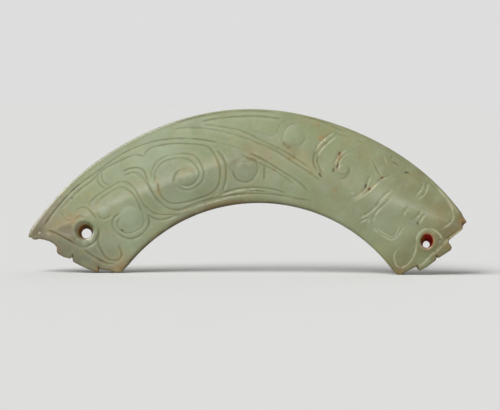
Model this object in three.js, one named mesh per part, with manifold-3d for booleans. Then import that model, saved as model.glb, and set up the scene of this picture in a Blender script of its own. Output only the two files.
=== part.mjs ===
import * as THREE from 'three';
import { mergeVertices } from 'three/addons/utils/BufferGeometryUtils.js';
import Module from 'manifold-3d';

// A jade huang: one arc-shaped plate of stone with a blunt notched head at each end and a cord bore in each.
// Millimetres. +X runs along the arc, -Y is the carved face, +Z is up and the plate stands on its lower corners.

const wasm = await Module();
wasm.setup();

// The arc band. Its two edges are circles, and the inner one's centre lies a little right of and above the outer's.
const outerRadius = 66.1;
const bandWidth = 23.95;
const innerCentreRight = 1.54;
const innerCentreUp = 0.28;

// The plate's cross-section: a flat back, a crowned front and a bevel along each rim
const ridgeThickness = 5.6;
const rimThickness = 4.6;
const crownPower = 1.6;
const frontBevel = 0.6;
const backBevel = 0.3;

// The ground lies this far under the lower of the two inner corners.
const footDrop = 0.55;

// Each end runs from the outer tip to the inner corner. Both are angles on their own arc, from +X.
// The shares are [along, out] in lengths of the straight line between the two.
const leftEnd = {
  side: -1,
  tipAngle: 148.8,
  cornerAngle: 142.7,
  footInset: 1.17,
  footLength: 1.38,
  outlineShares: [
    // the snout
    [0.007, 0.015], [0.017, 0.024], [0.049, 0.017], [0.064, 0.029], [0.102, 0.017], [0.116, 0.004],
    // the mouth's hollow and the jaw
    [0.177, -0.004], [0.227, -0.006], [0.272, 0.004], [0.307, 0.026], [0.315, 0.059], [0.333, 0.082],
    [0.4, 0.093], [0.468, 0.087],
    // the first nick and the cheek
    [0.473, 0.065], [0.5, 0.107], [0.614, 0.124], [0.746, 0.129],
    // the second nick and the chin above the foot
    [0.74, 0.079], [0.755, 0.074], [0.773, 0.092], [0.855, 0.074], [0.916, 0.074],
  ],
};
const rightEnd = {
  side: 1,
  tipAngle: 36,
  cornerAngle: 36.2,
  footInset: 0.57,
  footLength: 1.38,
  outlineShares: [
    // the rounded tip and the step under it
    [0.025, 0.033], [0.053, 0.03], [0.079, 0.037], [0.111, 0.066], [0.212, 0.069], [0.301, 0.072],
    // the first nick and the lip
    [0.323, 0.092], [0.316, 0.119], [0.325, 0.16], [0.356, 0.173], [0.5, 0.164],
    // the small nick and the jaw
    [0.526, 0.158], [0.519, 0.139], [0.552, 0.161], [0.671, 0.16], [0.76, 0.148], [0.774, 0.136],
    // the deep nick and the chin above the foot
    [0.761, 0.101], [0.789, 0.085], [0.916, 0.068],
  ],
};

// A bore for the cord in each head: flared at the carved face, narrower at the back, drilled slightly downwards
const leftBore = {
  angle: 140.75,
  bandShare: 0.545,
  mouthDiameter: 5.2,
  throatDiameter: 3.5,
  exitDiameter: 2.6,
  flareDepth: 0.8,
  slant: 10,
};
const rightBore = {
  angle: 37.65,
  bandShare: 0.49,
  mouthDiameter: 3.9,
  throatDiameter: 3.4,
  exitDiameter: 2.2,
  flareDepth: 0.5,
  slant: 10,
};

// How far each cutting shape runs past what it cuts
const overrun = 2;

// Facets of a full turn, and across the crown
const arcFacets = 200;
const boreFacets = 28;
const crownFacets = 8;

const innerRadius = outerRadius - bandWidth;
const frontY = -ridgeThickness / 2;
const backY = ridgeThickness / 2;
const frontRimY = frontY + (ridgeThickness - rimThickness);

function onArc(centreX, centreZ, radius, angle) {
  const turn = THREE.MathUtils.degToRad(angle);
  return new THREE.Vector2(centreX + radius * Math.cos(turn), centreZ + radius * Math.sin(turn));
}

function onOuterArc(angle) {
  return onArc(0, 0, outerRadius, angle);
}

function onInnerArc(angle) {
  return onArc(innerCentreRight, innerCentreUp, innerRadius, angle);
}

// A place on the band: share 0 is its inner edge and 1 its outer edge
function onBand(angle, share) {
  return onInnerArc(angle).lerp(onOuterArc(angle), share);
}

const groundZ = Math.min(onInnerArc(leftEnd.cornerAngle).y, onInnerArc(rightEnd.cornerAngle).y) - footDrop;
const middleX = (onOuterArc(leftEnd.tipAngle).x + onOuterArc(rightEnd.tipAngle).x) / 2;

// Solids from three.js shapes, and back again
function toSolid(geometry) {
  geometry.deleteAttribute('normal');
  geometry.deleteAttribute('uv');
  const merged = mergeVertices(geometry);
  return new wasm.Manifold(new wasm.Mesh({
    numProp: 3,
    vertProperties: new Float32Array(merged.attributes.position.array),
    triVerts: new Uint32Array(merged.index.array),
  }));
}

function toGeometry(solid) {
  const mesh = solid.getMesh();
  const geometry = new THREE.BufferGeometry();
  geometry.setAttribute('position', new THREE.BufferAttribute(mesh.vertProperties, mesh.numProp));
  geometry.setIndex(new THREE.BufferAttribute(mesh.triVerts, 1));
  const faceted = geometry.toNonIndexed();
  faceted.computeVertexNormals();
  return faceted;
}

// A solid turned about the Y axis from a profile of [radius, y] points, given from the back to the front
function turned(profile, facets) {
  const points = profile.map(([radius, y]) => new THREE.Vector2(radius, y));
  return toSolid(new THREE.LatheGeometry(points.reverse(), facets));
}

// The whole ring that the band is part of, with its crowned front and its outer bevels
function ringSolid() {
  const coreRadius = innerRadius - overrun;
  const crownInner = innerRadius + frontBevel;
  const crownOuter = outerRadius - frontBevel;
  const profile = [
    [coreRadius, backY],
    [outerRadius - backBevel, backY],
    [outerRadius, backY - backBevel],
    [outerRadius, frontRimY + frontBevel],
  ];
  for (let i = 0; i <= crownFacets; i++) {
    const share = i / crownFacets;
    const height = (ridgeThickness - rimThickness) * (1 - Math.abs(2 * share - 1) ** crownPower);
    profile.push([THREE.MathUtils.lerp(crownOuter, crownInner, share), frontRimY - height]);
  }
  profile.push([coreRadius, frontRimY], [coreRadius, backY]);
  return turned(profile, arcFacets);
}

// What is cut out under the arch, opening out at each face to leave the inner bevels
function archCutter() {
  const cutter = turned([
    [0, backY + overrun],
    [innerRadius + backBevel + overrun, backY + overrun],
    [innerRadius, backY - backBevel],
    [innerRadius, frontRimY + frontBevel],
    [innerRadius + frontBevel + overrun, frontRimY - overrun],
    [0, frontRimY - overrun],
  ], arcFacets);
  return cutter.translate([innerCentreRight, 0, innerCentreUp]);
}

// One end's points from its outer tip to its inner corner, with the flat that it stands on
function endPoints(end) {
  const tip = onOuterArc(end.tipAngle);
  const corner = onInnerArc(end.cornerAngle);
  const along = corner.clone().sub(tip);
  const out = new THREE.Vector2(-along.y, along.x).multiplyScalar(end.side);
  const points = end.outlineShares.map(([alongShare, outShare]) => (
    tip.clone().addScaledVector(along, alongShare).addScaledVector(out, outShare)
  ));
  const footInner = corner.x + end.side * end.footInset;
  return [
    tip,
    ...points,
    new THREE.Vector2(footInner + end.side * end.footLength, groundZ),
    new THREE.Vector2(footInner, groundZ),
    corner,
  ];
}

// The plate's outline as a solid: its two ends, joined under the arch and round the outside of the band
function outlineSolid() {
  const left = endPoints(leftEnd);
  const right = endPoints(rightEnd).reverse();
  const top = outerRadius + overrun;
  const outline = new THREE.Shape([
    ...left,
    ...right,
    new THREE.Vector2(right.at(-1).x + overrun, top),
    new THREE.Vector2(left[0].x - overrun, top),
  ]);
  const depth = ridgeThickness + 2 * overrun;
  const geometry = new THREE.ExtrudeGeometry(outline, { depth, bevelEnabled: false });
  geometry.rotateX(Math.PI / 2);
  geometry.translate(0, depth / 2, 0);
  return toSolid(geometry);
}

function boreCutter(bore) {
  const slant = THREE.MathUtils.degToRad(bore.slant);
  const flare = (bore.mouthDiameter - bore.throatDiameter) / 2 / bore.flareDepth;
  const taper = (bore.throatDiameter - bore.exitDiameter) / 2 / (ridgeThickness - bore.flareDepth);
  const cutter = turned([
    [0, backY + overrun],
    [bore.exitDiameter / 2 - taper * overrun, backY + overrun],
    [bore.throatDiameter / 2, frontY + bore.flareDepth],
    [bore.mouthDiameter / 2 + flare * overrun, frontY - overrun],
    [0, frontY - overrun],
  ], boreFacets);
  const place = onBand(bore.angle, bore.bandShare);
  const drop = Math.tan(slant) * frontY;
  return cutter.rotate([-bore.slant, 0, 0]).translate([place.x, 0, place.y + drop]);
}

function jadePlate() {
  const solid = ringSolid()
    .intersect(outlineSolid())
    .subtract(archCutter())
    .subtract(boreCutter(leftBore))
    .subtract(boreCutter(rightBore));
  const jade = new THREE.MeshStandardMaterial({ color: 0xa3a884, roughness: 0.35, metalness: 0 });
  const mesh = new THREE.Mesh(toGeometry(solid), jade);
  mesh.name = 'jade_plate';
  mesh.position.set(-middleX, 0, -groundZ);
  return mesh;
}

const pendant = new THREE.Group();
pendant.add(jadePlate());

export default pendant;
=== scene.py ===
import math

import bpy
import numpy as np
from mathutils import Matrix, Vector, noise
from mathutils.geometry import delaunay_2d_cdt
from mathutils.kdtree import KDTree


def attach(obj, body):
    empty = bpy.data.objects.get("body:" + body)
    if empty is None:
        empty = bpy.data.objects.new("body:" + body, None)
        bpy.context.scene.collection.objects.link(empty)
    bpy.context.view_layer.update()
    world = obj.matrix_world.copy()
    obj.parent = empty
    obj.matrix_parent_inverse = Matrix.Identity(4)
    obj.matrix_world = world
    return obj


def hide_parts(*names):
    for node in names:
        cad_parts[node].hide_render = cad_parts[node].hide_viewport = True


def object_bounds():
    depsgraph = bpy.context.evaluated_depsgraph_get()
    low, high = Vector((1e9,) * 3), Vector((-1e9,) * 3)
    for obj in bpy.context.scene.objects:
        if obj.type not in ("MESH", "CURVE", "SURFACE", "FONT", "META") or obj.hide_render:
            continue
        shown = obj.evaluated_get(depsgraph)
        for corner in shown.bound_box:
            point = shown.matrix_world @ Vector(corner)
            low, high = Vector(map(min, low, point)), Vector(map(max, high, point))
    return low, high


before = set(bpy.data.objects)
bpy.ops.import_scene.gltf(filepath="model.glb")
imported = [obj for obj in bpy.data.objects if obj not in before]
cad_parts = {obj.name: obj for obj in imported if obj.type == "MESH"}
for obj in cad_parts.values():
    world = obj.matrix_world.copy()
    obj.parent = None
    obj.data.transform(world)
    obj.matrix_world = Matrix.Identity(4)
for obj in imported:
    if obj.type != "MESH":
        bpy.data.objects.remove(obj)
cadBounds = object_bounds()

# A jade huang, carved on its front and standing on its two lower corners.
# Sizes are in millimetres, and places in the photograph in its pixels, until the mesh is made in metres.
mm = 0.001


def addObject(name, data):
    made = bpy.data.objects.new(name, data)
    bpy.context.scene.collection.objects.link(made)
    return made


# the camera, set up as the photograph was taken

view = {
    "lens": 150,
    "sensor": 36,
    "clip": (0.01, 30),      # in metres
    "wide": 500,
    "high": 410,
    "place": (3.0, -523.9, 42.9),
    "lookAt": (0.66, 0.0, 17.3),
    "roll": 0.35,            # degrees, the picture's floor drops to the right
}


def makeCamera():
    data = bpy.data.cameras.new("camera")
    data.lens = view["lens"]
    data.sensor_width = view["sensor"]
    data.clip_start, data.clip_end = view["clip"]
    camera = addObject("camera", data)
    place = Vector(view["place"])
    ahead = Vector(view["lookAt"]) - place
    turn = ahead.to_track_quat("-Z", "Y").to_matrix() @ Matrix.Rotation(math.radians(view["roll"]), 3, "Z")
    camera.matrix_world = Matrix.Translation(place * mm) @ turn.to_4x4()
    bpy.context.scene.camera = camera
    return np.array(turn)


cameraTurn = makeCamera()


def fromPhoto(pixels, depth):
    # where the rays through pixels of the photograph meet the upright plane y = depth, as x and z
    pixels = np.asarray(pixels, float)
    focal = view["lens"] / view["sensor"] * view["wide"]
    rays = np.stack([(pixels[:, 0] - view["wide"] / 2) / focal, (view["high"] / 2 - pixels[:, 1]) / focal,
                     -np.ones(len(pixels))], axis=1) @ cameraTurn.T
    reach = (depth - view["place"][1]) / rays[:, 1]
    return np.stack([view["place"][0] + rays[:, 0] * reach, view["place"][2] + rays[:, 2] * reach], axis=1)


# the plate's outline

plate = {
    "outerCentre": (1.53, -24.62),
    "outerRadius": 65.93,
    "innerCentre": (3.07, -24.34),
    "innerRadius": 42.15,
    "outerSteps": (600, (4, 8)),       # how many along the rim, and how many are left out beside each end
    "innerSteps": (400, (8, 1)),
    "rimWave": 0.19,         # the outer rim was ground by eye and swings in and out by this much
    "rimWaveTurn": 49.5,
    "rimWaveFrom": 45.3,
    "tipSwell": 0.16,        # the outer rim stands a little proud just above the left tip
    "tipSwellFrom": (141, 148),
    "outlineStep": 0.2,
    "outlineSoft": 0.12,
    "frontY": -2.5,          # the crest of the carved face, kept back a little for the raised discs
    "rimY": -1.0,
    "backY": 2.78,
    "backGround": 0.03,      # how much was ground off the back
    "outerRound": 0.45,
    "innerRound": 0.6,
    "endRound": 0.45,
    "roundBlend": 21,        # over how many points of the outline one rounding passes into the next
    "backRound": 0.4,
    "outlineDepth": -1.2,    # the depth at which the silhouette is read from the photograph
    "carvingDepth": -2.4,
    # from the left tip down the notched muzzle to the inner corner
    "leftEnd": [
        (28.3, 236), (29, 237.2), (32.3, 237.6), (33.4, 239.3), (37.5, 239.4), (39.3, 238.6),
        (45.5, 239.9), (50.5, 241.5), (54.5, 244), (57.2, 247.3), (56.8, 250.8), (57.8, 253.6),
        (64, 257), (70.8, 258.7), (72, 256.4), (73.2, 261.8), (83.8, 267.3), (96.5, 272.3),
        (98.7, 271.7), (99.1, 269.6), (98.9, 268.4), (99.6, 268.3), (100.4, 269.6), (109, 270.7),
        (115.5, 273.2), (121, 273.2), (122.8, 271.4), (124, 269.6),
    ],
    # and from the right inner corner up to the right tip
    "rightEnd": [
        (395.4, 273), (397, 274.9), (402.5, 274.9), (404.5, 273), (414.5, 267.4), (417.4, 267),
        (418.3, 270.2), (420.2, 270.6), (427.3, 266.8), (435.8, 260.3), (436.8, 256.2), (437.3, 258.3),
        (439.5, 257.4), (450.3, 250.2), (451.8, 247.6), (450.3, 244.2), (448.3, 242.6), (448.8, 240),
        (455, 235), (462.1, 229.3), (462.8, 225.5), (464.3, 223.6), (466.5, 222.4), (466.3, 221.2),
        (464.8, 219), (462.8, 215.7),
    ],
}


def onFace(pixels):
    return fromPhoto(pixels, plate["carvingDepth"])


def spotOnFace(pixel):
    return onFace([pixel])[0]


def polar(centre, radius, angle):
    return np.stack([centre[0] + radius * np.cos(angle), centre[1] + radius * np.sin(angle)], axis=-1)


def angleOf(point, centre):
    return np.arctan2(point[..., 1] - centre[1], point[..., 0] - centre[0])


def distanceTo(points, centre):
    return np.linalg.norm(points - centre, axis=1)


def smoothstep(low, high, value):
    share = np.clip((value - low) / (high - low), 0, 1)
    return share * share * (3 - 2 * share)


def bell(gap, half):
    # 1 where the gap is 0, falling off smoothly on both sides
    return np.exp(-(gap / half) ** 2)


def wander(points, pace, seed):
    # slow noise over the plate
    return np.array([noise.noise((x * pace, z * pace, seed)) for x, z in points])


def outerRimRadius(angle):
    degrees = np.degrees(angle)
    wave = plate["rimWave"] * np.cos(2 * np.pi * (degrees - plate["rimWaveFrom"]) / plate["rimWaveTurn"])
    return plate["outerRadius"] + wave + plate["tipSwell"] * smoothstep(*plate["tipSwellFrom"], degrees)


def resample(points, step, closed=False):
    # points at even steps along a polyline
    if closed:
        points = np.vstack([points, points[:1]])
    run = np.concatenate([[0], np.cumsum(np.linalg.norm(np.diff(points, axis=0), axis=1))])
    count = max(2, int(round(run[-1] / step)) + 1)
    at = np.linspace(0, run[-1], count)
    if closed:
        at = at[:-1]
    return np.stack([np.interp(at, run, points[:, 0]), np.interp(at, run, points[:, 1])], axis=1)


def blurred(loop, weights):
    # each of a closed loop's values blended with its neighbours'
    reach = len(weights) // 2
    shares = zip(range(-reach, reach + 1), weights / weights.sum())
    return sum(share * np.roll(loop, -k, axis=0) for k, share in shares)


def rimAngles(centre, start, end, steps, skipped):
    return np.linspace(angleOf(start, centre), angleOf(end, centre), steps)[skipped[0]:steps - skipped[1]]


def makeOutline():
    left, right = (fromPhoto(plate[end], plate["outlineDepth"]) for end in ("leftEnd", "rightEnd"))
    inner = rimAngles(plate["innerCentre"], left[-1], right[0], *plate["innerSteps"])
    outer = rimAngles(plate["outerCentre"], right[-1], left[0], *plate["outerSteps"])
    loop = np.vstack([
        left,
        polar(plate["innerCentre"], plate["innerRadius"], inner),
        right,
        polar(plate["outerCentre"], outerRimRadius(outer), outer),
    ])
    step = plate["outlineStep"] / 2
    span = int(3 * plate["outlineSoft"] / step)
    weights = np.exp(-0.5 * (np.arange(-span, span + 1) * step / plate["outlineSoft"]) ** 2)
    loop = blurred(resample(loop, step, closed=True), weights)
    low, high = (np.array([corner[0], corner[2]]) / mm for corner in cadBounds)
    return np.clip(resample(loop, plate["outlineStep"], closed=True), low, high)


outline = makeOutline()
outlineSize = len(outline)
outlineAhead = np.roll(outline, -1, axis=0) - np.roll(outline, 1, axis=0)
outlineAhead /= np.linalg.norm(outlineAhead, axis=1)[:, None]
outlineInward = np.stack([-outlineAhead[:, 1], outlineAhead[:, 0]], axis=1)   # the loop runs anticlockwise
outlineTree = KDTree(outlineSize)
for index, (x, z) in enumerate(outline):
    outlineTree.insert((x, z, 0), index)
outlineTree.balance()
print("outline", outlineSize, "points", outline.min(0).round(2), outline.max(0).round(2))


def nearestOutline(points):
    # distance to the outline and the nearest sample of it
    near = np.array([outlineTree.find((x, z, 0))[1] for x, z in points])
    best = np.full(len(points), np.inf)
    for side in (-1, 0):
        start = outline[(near + side) % outlineSize]
        run = outline[(near + side + 1) % outlineSize] - start
        share = np.clip(((points - start) * run).sum(1) / (run * run).sum(1), 0, 1)
        best = np.minimum(best, np.linalg.norm(points - start - run * share[:, None], axis=1))
    return best, near


# the two cord bores, drilled a little downwards to the back

bores = {
    "left": {
        "throat": (85.5, 231.7),
        "mouthAside": (-0.3, 0.38),
        "narrow": 1,
        "mouthRadius": 2.42,
        "throatRadius": 1.75,
        "exitRadius": 1.28,
        "flareDepth": 0.8,
        "slant": 11.5,
        "aside": -0.02,
        "lipRadius": 2.85,
        "lipHalf": 0.7,
        "lipHeight": 0.2,
        "stain": (0.8, (-0.7, 0.7)),       # how far out of the throat it reaches, and towards which side
    },
    "right": {
        "throat": (427.1, 241.1),
        "mouthAside": (-0.02, 0.05),
        "narrow": 0.86,          # its width as a share of its height
        "mouthRadius": 1.95,
        "throatRadius": 1.74,
        "exitRadius": 0.88,
        "flareDepth": 0.5,
        "slant": 16.5,
        "aside": 0.045,          # how far it runs to the right per millimetre of depth
        "lipRadius": 2.5,
        "lipHalf": 0.6,
        "lipHeight": 0.08,
        "stain": (0.55, (0.3, 0.95)),
    },
}
boreShape = {
    "facets": 72,
    "rings": 14,
    "flarePower": 1.3,
    "lipPower": 1.5,
    "exitGap": 0.12,         # how far outside the exit's radius its edge lies on the back
    "taper": 1.08,           # the exit's radius is reached a little before the back
    "chatter": (0.035, 2.4),         # the drill's rings, their height and their pace
    "wander": (0.03, 1.2, 0.5),      # its unevenness, the same round it and along it
    "wanderApart": 9,        # sets the unevenness of one bore apart from the other's
}
boreTurn = np.linspace(0, 2 * np.pi, boreShape["facets"], endpoint=False)

for bore in bores.values():
    bore["centre"] = spotOnFace(bore["throat"])
    bore["mouthCentre"] = bore["centre"] + bore["mouthAside"]
    bore["drop"] = math.tan(math.radians(bore["slant"]))


def boreGap(points, centre, bore):
    # how far out of a bore's middle the points are, up or down
    return np.linalg.norm((points - centre) / np.array([bore["narrow"], 1]), axis=1)


def boreRing(centre, radius, turn, bore):
    return centre + radius * np.stack([bore["narrow"] * np.cos(turn), np.sin(turn)], axis=1)


def funnel(points, bore):
    # 1 at the throat's edge and 0 at the mouth's
    toThroat = boreGap(points, bore["centre"], bore) - bore["throatRadius"]
    toMouth = bore["mouthRadius"] - boreGap(points, bore["mouthCentre"], bore)
    return np.clip(toMouth / np.maximum(toThroat + toMouth, 1e-6), 0, 1) * (toMouth > 0)


# the kinds of carved line: half its width, its depth and how far in it fades from its ends
cuts = {
    "ring": (0.42, 0.125, 1.1),
    "line": (0.38, 0.1, 1.1),
    "soft": (0.55, 0.08, 1.1),
    "fine": (0.32, 0.08, 1.1),
    "hair": (0.22, 0.055, 1.1),
    "groove": (0.42, 0.18, 1.1),
    "score": (0.36, 0.16, 1.1),
    "scratch": (0.28, 0.11, 1.1),
    "faint": (0.28, 0.07, 1.1),
    "crack": (0.18, 0.13, 0.6),
    "gash": (0.26, 0.17, 0.6),
    "speck": (0.3, 0.06, 0.05),
}

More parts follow.
